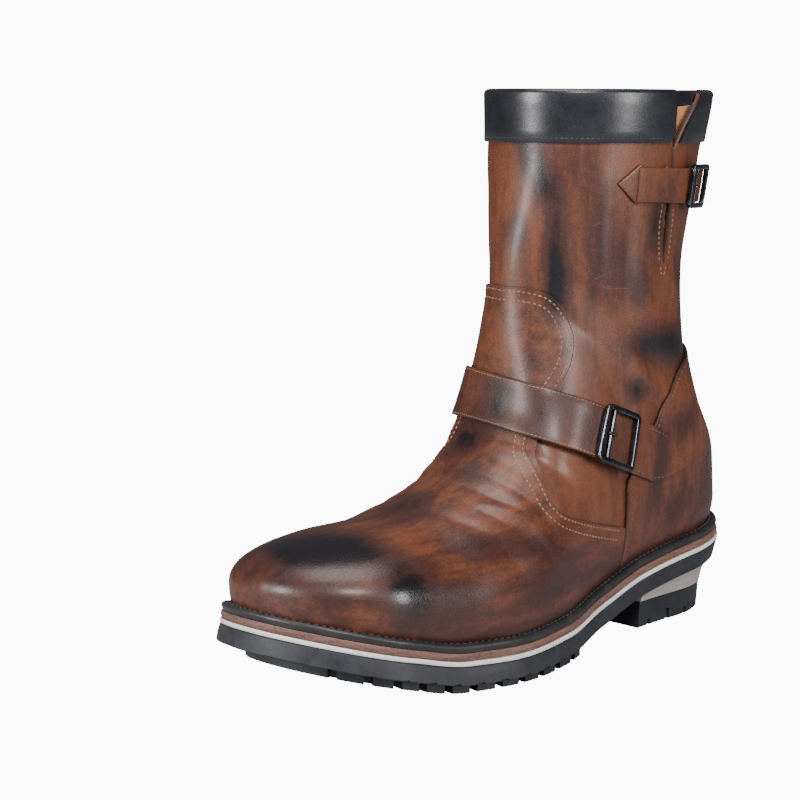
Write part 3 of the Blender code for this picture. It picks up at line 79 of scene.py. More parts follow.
SOLE_TABLE = (
    # place, outer, inner, heel_rise, toe_rise
    (0.00, 0.341, 0.350, 1.000, 0.000),
    (0.13, 0.341, 0.350, 0.815, 0.000),
    (0.27, 0.363, 0.341, 0.612, 0.000),
    (0.40, 0.416, 0.314, 0.280, 0.000),
    (0.52, 0.513, 0.363, 0.060, 0.000),
    (0.64, 0.558, 0.442, 0.000, 0.000),
    (0.74, 0.518, 0.469, 0.000, 0.046),
    (0.85, 0.480, 0.478, 0.000, 0.400),
    (1.00, 0.480, 0.478, 0.000, 1.000),
)
UPPER_TABLE = (
    # front_y, front_z, station, back_y, back_z, outer, inner, hip, low, top, steps
    (-0.3016, 0.2650, 0.7161, 0, 0, 0.455, 0.447, 0.36, 2.20, 2.30, 0),
    (-0.2361, 0.2688, 0.6635, 0, 0, 0.485, 0.451, 0.34, 2.20, 2.15, 2),
    (-0.1639, 0.2914, 0.6155, 0, 0, 0.509, 0.447, 0.32, 2.20, 2.00, 2),
    (-0.0852, 0.3252, 0.5701, 0, 0, 0.509, 0.429, 0.30, 2.20, 1.95, 2),
    (-0.0164, 0.3891, 0.5174, 0, 0, 0.469, 0.416, 0.30, 2.20, 1.90, 2),
    (0.0148, 0.4774, 0.4520, 0, 0, 0.414, 0.389, 0.31, 2.20, 1.90, 2),
    (0.0197, 0.5658, 0.3609, 0, 0, 0.385, 0.367, 0.33, 2.20, 1.90, 2),
    (0.0246, 0.6391, 0.2487, 0, 0, 0.370, 0.357, 0.36, 2.20, 1.95, 2),
    (0.0262, 0.6917, 0.0000, 0, 0, 0.367, 0.354, 0.42, 2.20, 2.00, 5),
    (0.0282, 0.7256, None, 0.4770, 0.2632, 0.367, 0.357, 0.44, 2.20, 2.00, 1),
    (0.0328, 0.7632, None, 0.4410, 0.3496, 0.367, 0.358, 0.46, 2.15, 2.05, 1),
    (0.0433, 0.8271, None, 0.4016, 0.4812, 0.373, 0.370, 0.50, 2.10, 2.10, 1),
    (0.0498, 0.8910, None, 0.3852, 0.6391, 0.393, 0.391, 0.50, 2.05, 2.10, 2),
    (0.0511, 0.9511, None, 0.4157, 0.8195, 0.418, 0.415, 0.50, 2.00, 2.05, 2),
    (0.0502, 1.0113, None, 0.4403, 0.9887, 0.438, 0.438, 0.50, 2.00, 2.00, 2),
)
COLLAR_CENTRE = SOLE_LENGTH * (UPPER_TABLE[-1][0] + UPPER_TABLE[-1][3]) / 2
FEATHER_ROW = max(i for i, row in enumerate(UPPER_TABLE) if row[2] is not None)
print(len(UPPER_TABLE), "sections from toe to collar")


# %% Smooth curves through tables
def ease(x, xs, ys):
    """Smooth curve through (xs, ys) that never swings past its points."""
    xs, ys = np.asarray(xs, float), np.asarray(ys, float)
    step = np.diff(xs)
    rise = np.diff(ys) / step
    slope = np.zeros(len(xs))
    slope[0], slope[-1] = rise[0], rise[-1]
    for i in range(1, len(xs) - 1):
        if rise[i - 1] * rise[i] > 0:
            before, after = 2 * step[i] + step[i - 1], step[i] + 2 * step[i - 1]
            slope[i] = (before + after) / (before / rise[i - 1] + after / rise[i])
    x = np.clip(x, xs[0], xs[-1])
    i = np.clip(np.searchsorted(xs, x) - 1, 0, len(xs) - 2)
    t = (x - xs[i]) / step[i]
    return ((1 + 2 * t) * (1 - t) ** 2 * ys[i] + t * (1 - t) ** 2 * step[i] * slope[i]
            + t * t * (3 - 2 * t) * ys[i + 1] - t * t * (1 - t) * step[i] * slope[i + 1])


def pick(table, index):
    return [row[index] for row in table]


def column(table, index, x):
    return ease(x, pick(table, 0), pick(table, index))


def smooth_step(x):
    x = np.clip(x, 0, 1)
    return x * x * (3 - 2 * x)


def unit(vectors):
    return vectors / np.linalg.norm(vectors, axis=1)[:, None]


def lengths_of(points):
    """Length along a path at each of its points."""
    return np.r_[0, np.cumsum(np.linalg.norm(np.diff(points, axis=0), axis=1))]


def at_lengths(places, lengths, values):
    return np.stack([np.interp(places, lengths, values[:, i]) for i in range(3)], 1)


def split(spots):
    """Points and normals of a list of places."""
    return np.array([p for p, _ in spots]), np.array([n for _, n in spots])


def half_width(y, side, grow=0.0):
    """Half-width of the sole's outline at y, grown outwards by grow all round."""
    place = np.clip((SOLE_LENGTH / 2 + grow - y) / (SOLE_LENGTH + 2 * grow), 0, 1)
    width = column(SOLE_TABLE, 1 if side > 0 else 2, place) * BALL_WIDTH + grow
    heel = np.clip((HEEL_END - place) / HEEL_END, 0, 1)
    toe = np.clip((place - (1 - TOE_END)) / TOE_END, 0, 1)
    ends = (1 - heel ** END_POWER) * (1 - toe ** END_POWER)
    return width * ends ** (1 / END_ROOT)


def middle(y):
    """Sideways shift of the sole's middle, which turns inwards at the toe."""
    place = np.clip(0.5 - y / SOLE_LENGTH, 0, 1)
    return TOE_SHIFT * ease(place, (0, 0.6, 0.84, 1), (0, 0, 0, 1))


def seat(y):
    """Height of the welt's top face along the boot."""
    place = np.clip(0.5 - y / SOLE_LENGTH, 0, 1)
    return (BALL_TOP + column(SOLE_TABLE, 3, place) * (HEEL_SEAT - BALL_TOP)
            + column(SOLE_TABLE, 4, place) * TOE_SPRING)


rand_low, rand_high = (np.array(corner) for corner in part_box("rand"))
ys = np.linspace(-0.5, 0.5, 2001) * SOLE_LENGTH
rand_middle = (np.max(middle(ys) + half_width(ys, 1)) + np.min(middle(ys) - half_width(ys, -1))) / 2
SHIFT = np.array([(rand_low[0] + rand_high[0]) / 2 - rand_middle,
                  (rand_low[1] + rand_high[1]) / 2, 0.0])
print("The last's middle lies at", SHIFT.round(5), "in the frame")


# %% Sections of the last
def profile(start, width, hip, low, top, height, count):
    """Half a section as rise shares and half-widths, evenly spaced along its arc."""
    q = np.linspace(0, 1, 201)
    openness = min(start / width, 1.0)
    rise_low = hip * (q * openness + (1 - np.cos(q * math.pi / 2)) * (1 - openness))
    power = openness + (1 - openness) / low
    wide_low = start + (width - start) * np.clip(1 - (1 - rise_low / hip) ** low, 0, 1) ** power
    arc = np.sin(q * math.pi / 2)
    rise = np.r_[rise_low, (hip + (1 - hip) * arc)[1:]]
    wide = np.r_[wide_low, (width * np.clip(1 - arc ** top, 0, 1) ** (1 / top))[1:]]
    length = np.r_[0, np.cumsum(np.hypot(np.diff(rise) * height, np.diff(wide)))]
    places = np.linspace(0, length[-1], count)
    return np.interp(places, length, rise), np.interp(places, length, wide)


def there_and_back(out, home):
    """Two halves that meet at their last point, as one run of points."""
    return np.concatenate([out, home[::-1][1:]])


def section(row, count):
    """Points of one section, from its outer foot over the front to its inner foot."""
    front_y, front_z, back_y, back_z, outer, inner, hip, low, top, grounded = row
    height = math.hypot(front_y - back_y, front_z - back_z)
    halves = []
    for side, width in ((1, outer), (-1, inner)):
        start = float(half_width(back_y, side, -WELT_REACH)) if grounded else 0.0
        rise, wide = profile(start, max(width, start), hip, low, top, height, count)
        centre = float(middle(back_y)) * (1 - rise) if grounded else 0 * rise
        halves.append(np.stack([centre + side * wide, back_y + (front_y - back_y) * rise,
                                back_z + (front_z - back_z) * rise], 1))
    return there_and_back(*halves)


def fan_rows(fine):
    """The fan's sections from the toe's top to the collar, fine of them to each step."""
    marks = np.cumsum(pick(UPPER_TABLE, 10))
    last = marks[FEATHER_ROW]
    rows = []
    for k in range(marks[-1] * fine + 1):
        t = k / fine
        grounded = t <= last
        front_y = float(ease(t, marks, pick(UPPER_TABLE, 0))) * SOLE_LENGTH
        front_z = float(ease(t, marks, pick(UPPER_TABLE, 1))) * SHAFT_HEIGHT
        if grounded:
            stations = pick(UPPER_TABLE[:FEATHER_ROW + 1], 2)
            station = float(ease(t, marks[:FEATHER_ROW + 1], stations))
            back_y = FEATHER_HALF * math.cos(math.pi * station)
            back_z = float(seat(back_y))
        else:
            upper = UPPER_TABLE[FEATHER_ROW + 1:]
            back_ys = [FEATHER_HALF] + [row[3] * SOLE_LENGTH for row in upper]
            back_zs = [float(seat(FEATHER_HALF))] + [row[4] * SHAFT_HEIGHT for row in upper]
            back_y = float(ease(t, marks[FEATHER_ROW:], back_ys))
            back_z = float(ease(t, marks[FEATHER_ROW:], back_zs))
        shape = [float(ease(t, marks, pick(UPPER_TABLE, i))) for i in range(5, 10)]
        shape[:2] = [shape[0] * BALL_WIDTH, shape[1] * BALL_WIDTH]
        rows.append([front_y, front_z, back_y, back_z] + shape + [grounded])
    return rows, int(last) * fine


def feather_reach(centre_y, angle, side):
    """Distance from the toe's centre to the feather line in one direction."""
    near, far = 0.0, SOLE_LENGTH / 2
    for _ in range(30):
        reach = (near + far) / 2
        x, y = side * math.sin(angle) * reach, centre_y - math.cos(angle) * reach
        inside = y > -FEATHER_HALF and side * (x - middle(y)) <= half_width(y, side, -WELT_REACH)
        near, far = (reach, far) if inside else (near, reach)
    return near


def toe_rows(first, count, turns):
    """Half sections turned round the toe's top, from the tip to the fan's first section."""
    centre_y, top_z, foot_y, _, outer, inner, hip, low, top, _ = first
    bulges = [max(width - float(half_width(foot_y, side, -WELT_REACH)), 0.0)
              for side, width in ((1, outer), (-1, inner))]
    rows = []
    for k in range(turns):
        angle = math.pi / 2 * k / turns
        sideways = math.sin(angle) ** 2
        halves = []
        for side, bulge in zip((1, -1), bulges):
            reach = feather_reach(centre_y, angle, side if k else 1)
            swell = reach + bulge * sideways + sum(bulges) / 2 * 0.25 * (1 - sideways)
            foot_z = float(seat(centre_y - math.cos(angle) * reach))
            rise, wide = profile(reach, swell, hip, low, top, top_z - foot_z, count)
            y = centre_y - math.cos(angle) * wide
            z = foot_z + (top_z - foot_z) * rise + 0.06 * (y - centre_y) * rise
            halves.append(np.stack([side * math.sin(angle) * wide, y, z], 1))
        rows.append(there_and_back(*halves))
    return rows


# %% The last as a surface that pieces can be laid on
SLIT_Y = SOLE_LENGTH * 0.249
SLIT_DEPTH = 0.0830
SLIT_MOUTH = 0.0170
FINE = 7


def weld(points):
    """Number the distinct points of a grid; those that coincide share a number."""
    keys = np.round(points.reshape(-1, 3) / 1e-6).astype(np.int64)
    _, first, ids = np.unique(keys, axis=0, return_index=True, return_inverse=True)
    return ids.reshape(points.shape[:-1]), first


def grid_faces(ids, keep=None):
    """Faces of a grid of numbers, as triangles where a side has collapsed."""
    faces = []
    for i in range(ids.shape[0] - 1):
        for j in range(ids.shape[1] - 1):
            if keep is None or keep[i, j]:
                face = (ids[i, j], ids[i, j + 1], ids[i + 1, j + 1], ids[i + 1, j])
                face = [int(v) for n, v in enumerate(face) if v != face[n - 1]]
                if len(face) > 2:
                    faces.append(face)
    return faces


class Skin:
    """The last's surface: a grid of points, its normals, and rays that find a place on it."""

    def __init__(self, points):
        self.points = points
        ids, first = weld(points)
        total = np.zeros((len(first), 3))
        crossing = np.cross(points[1:, 1:] - points[:-1, :-1], points[:-1, 1:] - points[1:, :-1])
        for corner in (ids[:-1, :-1], ids[:-1, 1:], ids[1:, 1:], ids[1:, :-1]):
            np.add.at(total, corner.reshape(-1), crossing.reshape(-1, 3))
        total /= np.linalg.norm(total, axis=1)[:, None] + 1e-12
        self.normals = total[ids]
        if ((points - points.mean((0, 1))) * self.normals).sum() < 0:
            self.normals = -self.normals
        self.corners = points.reshape(-1, 3)[first]
        self.bends = self.normals.reshape(-1, 3)[first]
        self.faces = grid_faces(ids)
        self.tree = BVHTree.FromPolygons([Vector(p) for p in self.corners], self.faces)

    def hit(self, origin, direction):
        place, _, index, _ = self.tree.ray_cast(Vector(origin), Vector(direction))
        face = self.faces[index]
        near = [1 / ((Vector(self.corners[v]) - place).length + 1e-6) for v in face]
        normal = sum(n * self.bends[v] for n, v in zip(near, face))
        return np.array(place), normal / np.linalg.norm(normal)

    def side(self, y, z, side, offset=0.0):
        """Point and normal straight out sideways from (y, z), or from the nearest y inside."""
        while self.tree.ray_cast(Vector((0, y, z)), Vector((side, 0, 0)))[2] is None:
            y += math.copysign(SEARCH_STEP, COLLAR_CENTRE - y)
        point, normal = self.hit((0, y, z), (side, 0, 0))
        return point + normal * offset, normal


RIM_CANT, RIM_SLOPE = 0.045, -0.051
FLARE = 0.0028
SEARCH_STEP = 0.0005


def rim_height(x, y):
    """Height of the collar's rim."""
    return SHAFT_HEIGHT + RIM_CANT * x + RIM_SLOPE * (y - COLLAR_CENTRE)


def last_points():
    fan, last = fan_rows(FINE)
    count = 11 * FINE + 1
    points = np.array(toe_rows(fan[0], count, 6 * FINE) + [section(row, count) for row in fan])
    share = smooth_step((points[..., 2] / SHAFT_HEIGHT - 0.60) / 0.40)
    points[..., 2] += RIM_CANT * points[..., 0] * share
    x, y, z = (points[..., i] for i in range(3))
    behind = smooth_step((y - SLIT_Y) / SLIT_MOUTH) * (x > 0)
    fade = np.exp(-np.maximum(y - SLIT_Y - SLIT_MOUTH, 0) / (2 * SLIT_MOUTH))
    rise = smooth_step((z - SHAFT_HEIGHT + 0.4 * SLIT_DEPTH) / (0.4 * SLIT_DEPTH))
    flare = FLARE * behind * fade * rise
    return points + Skin(points).normals * flare[..., None], 6 * FINE + last


last_grid, feather_row = last_points()
last = Skin(last_grid)
print("The last has", len(last.corners), "points")

# %% [markdown]
# ## Creases
# Worn leather is never as smooth as the last. The flex line over the vamp, the folds at the
# ankle and the soft waves of the shaft are laid in: each is a short line on the
# leather with a width and a depth, below zero for a trough and above it for a ridge. A sculpt
# brush could do the same, but lines in a table give the same folds on each run.

# %% Lay the creases into the leather
CREASES = (
    # width and depth in mm, then (y, z) points in mm seen from the side, and the side
    (6.0, -1.1, 1, ((-6, 104), (0, 96), (8, 88), (16, 80))),
    (5.0, 0.7, 1, ((-14, 96), (-8, 88), (-2, 78), (2, 70))),
    (4.5, -0.9, 1, ((-22, 90), (-16, 82), (-12, 72), (-12, 60))),
    (6.0, 0.9, 1, ((-40, 78), (-30, 76), (-20, 70), (-14, 60))),
    (4.0, -0.7, 1, ((-36, 84), (-27, 79), (-20, 72))),
    (3.5, -0.5, 1, ((-46, 80), (-36, 74), (-28, 64), (-24, 52))),
    (3.0, -0.4, 1, ((-30, 70), (-20, 58), (-16, 46))),
    (3.0, 0.4, 1, ((-56, 72), (-46, 66), (-38, 56))),
    (7.0, -0.8, 1, ((-62, 76), (-52, 72), (-42, 60), (-38, 48))),
    (6.0, -1.0, -1, ((-6, 104), (2, 94), (10, 84), (14, 74))),
    (5.0, 0.7, -1, ((-18, 92), (-10, 82), (-4, 70))),
    (4.5, -0.9, -1, ((-26, 86), (-18, 76), (-12, 62))),
    (6.0, -0.7, -1, ((-52, 76), (-42, 68), (-34, 54))),
    (9.0, -1.6, 1, ((60, 150), (72, 138), (86, 130), (100, 128))),
    (7.0, 1.0, 1, ((56, 138), (70, 126), (84, 118), (98, 116))),
    (8.0, -1.2, 1, ((44, 128), (50, 118), (60, 112))),
    (9.0, -1.5, -1, ((64, 146), (78, 134), (94, 128))),
    (7.0, 0.9, -1, ((60, 132), (74, 122), (90, 116))),
    (9.0, 1.2, 1, ((36, 236), (38, 210), (40, 184), (44, 160))),
    (8.0, -1.0, 1, ((50, 232), (52, 206), (52, 180), (56, 156))),
    (6.0, -0.9, 1, ((24, 238), (25, 214), (27, 196))),
    (9.0, 0.8, 1, ((62, 188), (66, 166), (74, 148))),
    (6.0, -1.2, 1, ((84, 206), (88, 190), (94, 174))),
    (7.0, 1.3, 1, ((79, 182), (86, 172), (96, 162))),
    (10.0, -1.2, -1, ((36, 230), (40, 200), (44, 170))),
    (10.0, 1.0, -1, ((56, 236), (56, 205), (54, 175))),
    (10.0, -1.0, -1, ((98, 226), (96, 200), (98, 170))),
)


CREASE_STEPS = 14


def crease_depth(points, creases, surface):
    """How far each point moves along its normal for all creases together."""
    depth = np.zeros(points.shape[:-1])
    for width, rise, side, line in creases:
        width, rise = width / 1000, rise / 1000
        path = np.array([surface.side(y / 1000, z / 1000, side)[0] for y, z in line])
        lengths = lengths_of(path)
        path = at_lengths(np.linspace(0, lengths[-1], CREASE_STEPS), lengths, path)
        near = np.full(depth.shape, 1e9)
        share = np.zeros(depth.shape)
        for k in range(len(path) - 1):
            a, run = path[k], path[k + 1] - path[k]
            t = np.clip(((points - a) @ run) / (run @ run), 0, 1)
            far = np.linalg.norm(points - a - t[..., None] * run, axis=-1)
            closer = far < near
            near = np.where(closer, far, near)
            share = np.where(closer, (k + t) / (len(path) - 1), share)
        ends = np.sin(np.pi * np.clip(share, 0.02, 0.98)) ** 0.6
        depth += rise * ends * np.exp(-(near / (0.6 * width)) ** 2)
    return depth


leather = Skin(last.points + last.normals * crease_depth(last.points, CREASES, last)[..., None])
print(len(CREASES), "creases laid in")


# %% [markdown]
# ## Helpers for making pieces
# Every piece ends up as a closed mesh whose object sits at the origin. Sheets are made from two
# like layers of points with walls along their edges. Booleans, bevels and the other modifiers
# are applied as soon as they are set, as one would press Apply by hand.

# %% Mesh helpers
pieces = {}


def select(obj):
    bpy.ops.object.select_all(action='DESELECT')
    obj.select_set(True)
    bpy.context.view_layer.objects.active = obj


def tidy(obj, angle=40, turn_out=True):
    """Merge doubles, turn the faces outwards and smooth all but sharp edges."""
    work = bmesh.new()
    work.from_mesh(obj.data)
    bmesh.ops.remove_doubles(work, verts=work.verts, dist=1e-6)
    bmesh.ops.dissolve_degenerate(work, edges=work.edges, dist=1e-7)
    if turn_out:
        bmesh.ops.recalc_face_normals(work, faces=work.faces)
    work.to_mesh(obj.data)
    work.free()
    select(obj)
    bpy.ops.object.shade_smooth_by_angle(angle=math.radians(angle))
    return obj


def raw(name, points, faces):
    mesh = bpy.data.meshes.new(name)
    mesh.from_pydata([tuple(map(float, p)) for p in points], [], faces)
    obj = bpy.data.objects.new(name, mesh)
    bpy.context.collection.objects.link(obj)
    return obj


def make(name, points, faces, angle=40):
    """A piece from points in the last's place, moved to the frame's."""
    obj = tidy(raw(name, np.asarray(points) + SHIFT, faces), angle)
    pieces[name] = obj
    return obj


def apply_modifier(obj, kind, **settings):
    select(obj)
    modifier = obj.modifiers.new(kind.lower(), kind)
    for key, value in settings.items():
        setattr(modifier, key, value)
    bpy.ops.object.modifier_apply(modifier=modifier.name)


def cut(obj, tool, operation='DIFFERENCE'):
    apply_modifier(obj, 'BOOLEAN', operation=operation, solver='EXACT', object=tool)
    bpy.data.objects.remove(tool, do_unlink=True)
    return obj


def merge(objs):
    """All the objects joined into the first."""
    bpy.ops.object.select_all(action='DESELECT')
    for obj in objs:
        obj.select_set(True)
    bpy.context.view_layer.objects.active = objs[0]
    bpy.ops.object.join()
    return objs[0]


def cube(name, centre, size):
    """A cube scaled to its size, with its place and scale applied."""
    bpy.ops.object.select_all(action='DESELECT')
    bpy.ops.mesh.primitive_cube_add(size=1, location=centre)
    obj = bpy.context.object
    obj.name = name
    obj.scale = size
    bpy.ops.object.transform_apply(location=True, rotation=True, scale=True)
    return obj


def take_shape(obj):
    """A modelled shape's points and faces; the object itself is thrown away."""
    shape = (np.array([v.co for v in obj.data.vertices]),
             [list(p.vertices) for p in obj.data.polygons])
    bpy.data.objects.remove(obj, do_unlink=True)
    return shape


def between(outer, inner, faces):
    """Two like layers of points closed into a solid, with walls along their open edges."""
    count = len(outer)
    uses = {}
    for face in faces:
        for n, a in enumerate(face):
            uses.setdefault(frozenset((face[n - 1], a)), []).append((face[n - 1], a))
    walls = [[b, a, a + count, b + count]
             for (a, b) in (pair[0] for pair in uses.values() if len(pair) == 1)]
    back = [[v + count for v in reversed(face)] for face in faces]
    return np.concatenate([outer, inner]), faces + back + walls


def shell(name, points, normals, near, far, keep=None):
    """Closed shell between two offsets of a grid."""
    ids, first = weld(points)
    flat = points.reshape(-1, 3)[first]
    mean = np.zeros_like(flat)
    np.add.at(mean, ids.reshape(-1), normals.reshape(-1, 3))
    mean = unit(mean)
    return make(name, *between(flat + mean * far, flat + mean * near, grid_faces(ids, keep)))


def loft(name, loops, closed=True, angle=40, keep=True):
    """Solid through like loops of points, with flat ends or joined into a ring."""
    loops = np.array(loops)
    rows, size = loops.shape[:2]
    faces = []
    for i in range(rows - 1 if closed else rows):
        for j in range(size):
            k, m = (i + 1) % rows, (j + 1) % size
            faces.append([i * size + j, i * size + m, k * size + m, k * size + j])
    if closed:
        faces += [list(range(size)), [(rows - 1) * size + j for j in reversed(range(size))]]
    obj = make(name, loops.reshape(-1, 3), faces, angle)
    if not keep:
        pieces.pop(name)
    return obj


def prism(path, near_x, far_x):
    """Cutter through a side wall: rows hold (y, z) of one edge and (y, z) of the other."""
    loops = [[(near_x, a, b), (far_x, a, b), (far_x, c, d), (near_x, c, d)] for a, b, c, d in path]
    return loft("cutter", loops, keep=False)


def rounded(width, thick, bevel, steps=3):
    """Cross-section of a strip of leather: (across, height) points with rounded corners."""
    corners = []
    for cx, cz, start in ((1, 1, 0), (-1, 1, 90), (-1, -1, 180), (1, -1, 270)):
        for k in range(steps + 1):
            turn = math.radians(start + 90 * k / steps)
            corners.append((cx * (width / 2 - bevel) + bevel * math.cos(turn),
                            thick / 2 + cz * (thick / 2 - bevel) + bevel * math.sin(turn)))
    return corners


# %% [markdown]
# ## The upper
# The shaft and quarters are one wall of leather, open at the collar, at the slit on the outer
# side, along the zip on the inner side and underneath. It is the creased last given a
# thickness. The openings are cut with Booleans, because their edges run across the grid.

# %% The upper with its slit and its zip opening
ZIP_TABLE = (
    # y as a share of SOLE_LENGTH, z as a share of SHAFT_HEIGHT
    (0.1640, 0.340), (0.1702, 0.436), (0.1930, 0.512), (0.2115, 0.603),
    (0.2292, 0.702), (0.2459, 0.824), (0.2574, 0.920), (0.2640, 0.985),
)
SLIT_TABLE = (
    # depth share, front edge and rear edge as shares of SLIT_MOUTH
    (-0.10, -0.08, 1.05), (0.00, -0.06, 1.00), (0.12, -0.05, 0.66), (0.25, -0.04, 0.28),
    (0.36, -0.03, 0.05), (0.58, -0.08, 0.09), (0.78, -0.16, 0.17), (0.92, -0.09, 0.09),
    (1.00, -0.02, 0.02),
)
ZIP_SLOT = 0.0070


def zip_point(t):
    """(y, z) on the zip line, t from 0 at its foot to 1 at the collar."""
    place = np.linspace(0, 1, len(ZIP_TABLE))
    return np.array([float(ease(t, place, pick(ZIP_TABLE, 0))) * SOLE_LENGTH,
                     float(ease(t, place, pick(ZIP_TABLE, 1))) * SHAFT_HEIGHT])


def zip_across(t):
    step = zip_point(min(t + 0.01, 1.0)) - zip_point(max(t - 0.01, 0.0))
    step /= np.linalg.norm(step)
    return np.array([step[1], -step[0]])


def slit_edges(depth):
    """The slit's front and rear y at a depth share down from the collar."""
    return (SLIT_Y + float(column(SLIT_TABLE, 1, depth)) * SLIT_MOUTH,
            SLIT_Y + float(column(SLIT_TABLE, 2, depth)) * SLIT_MOUTH)


def slit_height(depth):
    return rim_height(BALL_WIDTH * 0.4, SLIT_Y) - depth * SLIT_DEPTH


def make_upper():
    points, normals = leather.points.copy(), leather.normals.copy()
    skirt = []
    for col in (0, -1):
        foot, bend = points[:, col].copy(), normals[:, col].copy()
        foot[:feather_row + 1, 2] -= LAYERS[0] - PIECE_GAP
        bend[:feather_row + 1, 2] = 0
        skirt.append((foot[:, None], bend[:, None]))
    points = np.concatenate([skirt[0][0], points, skirt[1][0]], 1)
    normals = np.concatenate([skirt[0][1], normals, skirt[1][1]], 1)
    keep = np.ones((len(points) - 1, points.shape[1] - 1), bool)
    keep[feather_row:, [0, -1]] = False
    upper = shell("shaft_leather", points, normals, -WALL, 0.0, keep)
    depths = np.linspace(-0.10, 1.0, 34)
    path = [(slit_edges(d)[0], slit_height(d), slit_edges(d)[1], slit_height(d)) for d in depths]
    cut(upper, prism(path, BALL_WIDTH * 0.2, BALL_WIDTH * 0.7))
    path = []
    for t in np.linspace(0, 1, 40):
        centre, across = zip_point(t), zip_across(t) * ZIP_SLOT / 2
        path.append((*(centre - across), *(centre + across)))
    rise = np.array([0, SHAFT_HEIGHT * 0.05, 0, SHAFT_HEIGHT * 0.05])
    path.append(tuple(np.array(path[-1]) + rise))
    cut(upper, prism(path, -BALL_WIDTH * 0.7, -BALL_WIDTH * 0.2))
    return tidy(upper, turn_out=False)


upper = make_upper()
print("Shaft leather:", len(upper.data.polygons), "faces")

# %% [markdown]
# ## Vamp and counter
# The vamp with its tongue, and the heel counter, are second layers sewn over the upper. Both are
# thin shells over the creased last, so that the layers follow each other exactly. The vamp is
# trimmed by a cutter drawn from the side. The counter is laid on by rays from inside the heel,
# which stop at its edges. A thin bead along each edge rounds it, as a skived and folded edge is
# rounded.

# %% Edges of the vamp and the counter, seen from the side
VAMP_EDGE = (
    # outer_y, outer_z, inner_y, inner_z
    (0.0300, 0.663, 0.0300, 0.663), (0.0551, 0.652, 0.0551, 0.652),
    (0.0750, 0.625, 0.0750, 0.625), (0.0870, 0.573, 0.0870, 0.573),
    (0.0770, 0.529, 0.0800, 0.529), (0.0300, 0.450, 0.0400, 0.450),
    (-0.0050, 0.375, 0.0100, 0.380), (-0.0161, 0.331, 0.0030, 0.340),
    (-0.0190, 0.298, 0.0080, 0.310), (-0.0100, 0.275, 0.0250, 0.289),
    (0.0200, 0.260, 0.0600, 0.278), (0.0672, 0.243, 0.1000, 0.271),
    (0.1600, 0.215, 0.1600, 0.262),
)
COUNTER_TABLE = (
    # y as a share of SOLE_LENGTH, z as a share of SHAFT_HEIGHT
    (0.1640, 0.300), (0.2000, 0.340), (0.2340, 0.389), (0.2715, 0.453),
    (0.3260, 0.507), (0.3800, 0.524), (0.5000, 0.528),
)
CURVE_GAP = 0.0004
VAMP_THICK = 0.0013
LEATHER_TOP = CURVE_GAP + VAMP_THICK
SEAM_Y = SOLE_LENGTH * 0.1640
COUNTER_COLUMNS, COUNTER_ROWS = 170, 56
HEEL_MIDDLE = Vector((0, SEAM_Y, SHAFT_HEIGHT * 0.258))
STEEPEST = 1.2


def vamp_edge(side, count=96):
    marks = np.arange(len(VAMP_EDGE))
    fine = np.linspace(0, marks[-1], count + 1)
    first = 0 if side > 0 else 2
    return np.stack([ease(fine, marks, pick(VAMP_EDGE, first)) * SOLE_LENGTH,
                     ease(fine, marks, pick(VAMP_EDGE, first + 1)) * SHAFT_HEIGHT], 1)


def foot_line(back, front, count=90):
    turn = np.linspace(0, math.pi, count)
    ys = [y for y in SOLE_LENGTH / 2 * np.cos(turn) if front < y < back]
    return [(y, float(seat(y)) + PIECE_GAP) for y in [back, *ys, front]]


def make_vamp():
    """Second layer over the creased last, kept only inside a cutter drawn from the side."""
    ahead, low = -0.6 * SOLE_LENGTH, float(seat(-0.6 * SOLE_LENGTH))
    loops = []
    for x, side in ((BALL_WIDTH, 1), (BALL_WIDTH * 0.36, 1), (-BALL_WIDTH * 0.36, -1),
                    (-BALL_WIDTH, -1)):
        edge = [tuple(p) for p in vamp_edge(side)]
        line = [(ahead, SHAFT_HEIGHT * VAMP_EDGE[0][1]), *edge,
                *foot_line(edge[-1][0], -SOLE_LENGTH / 2), (ahead, low)]
        loops.append([(x, y, z) for y, z in line])
    points = leather.points
    top = next(i for i, row in enumerate(points) if row[:, 2].max() > SHAFT_HEIGHT * 0.70)
    keep = np.zeros((len(points) - 1, points.shape[1] - 1), bool)
    keep[:top] = True
    obj = shell("vamp_leather", points, leather.normals, CURVE_GAP, LEATHER_TOP, keep)
    cut(obj, loft("cutter", loops, keep=False), 'INTERSECT')
    return tidy(obj, turn_out=False)


def counter_top(y):
    return column(COUNTER_TABLE, 1, y / SOLE_LENGTH) * SHAFT_HEIGHT


def heel_way(angle, rise):
    flat = math.cos(rise)
    return Vector((math.sin(angle) * flat, math.cos(angle) * flat, math.sin(rise)))


def settle(level, angle):
    """Rise of the ray that meets the leather at the height level(y)."""
    low, high = -STEEPEST, STEEPEST
    for _ in range(18):
        rise = (low + high) / 2
        place = leather.tree.ray_cast(HEEL_MIDDLE, heel_way(angle, rise))[0]
        below = rise < 0 if place is None else place.z < float(level(place.y))
        if below:
            low = rise
        else:
            high = rise
    return high


def make_counter():
    """Counter laid on by rays round the heel, from the foot's edge to the counter's top."""
    columns = []
    for angle in np.linspace(math.pi / 2, -math.pi / 2, COUNTER_COLUMNS):
        foot = settle(lambda y: seat(y) + PIECE_GAP, angle)
        top = settle(counter_top, angle)
        columns.append(split([leather.hit(HEEL_MIDDLE, heel_way(angle, rise))
                              for rise in np.linspace(foot, top, COUNTER_ROWS)]))
    points, normals = (np.array(grid) for grid in zip(*columns))
    return shell("counter_leather", points, normals, CURVE_GAP, LEATHER_TOP)


vamp, counter = make_vamp(), make_counter()
print("Vamp and counter:", len(vamp.data.polygons), len(counter.data.polygons), "faces")


# %% Beads that round the cut edges
STEP = 0.0015
DEEP = 0.010
TONGUE_AHEAD = 0.025
COUNTER_BACK = 0.115


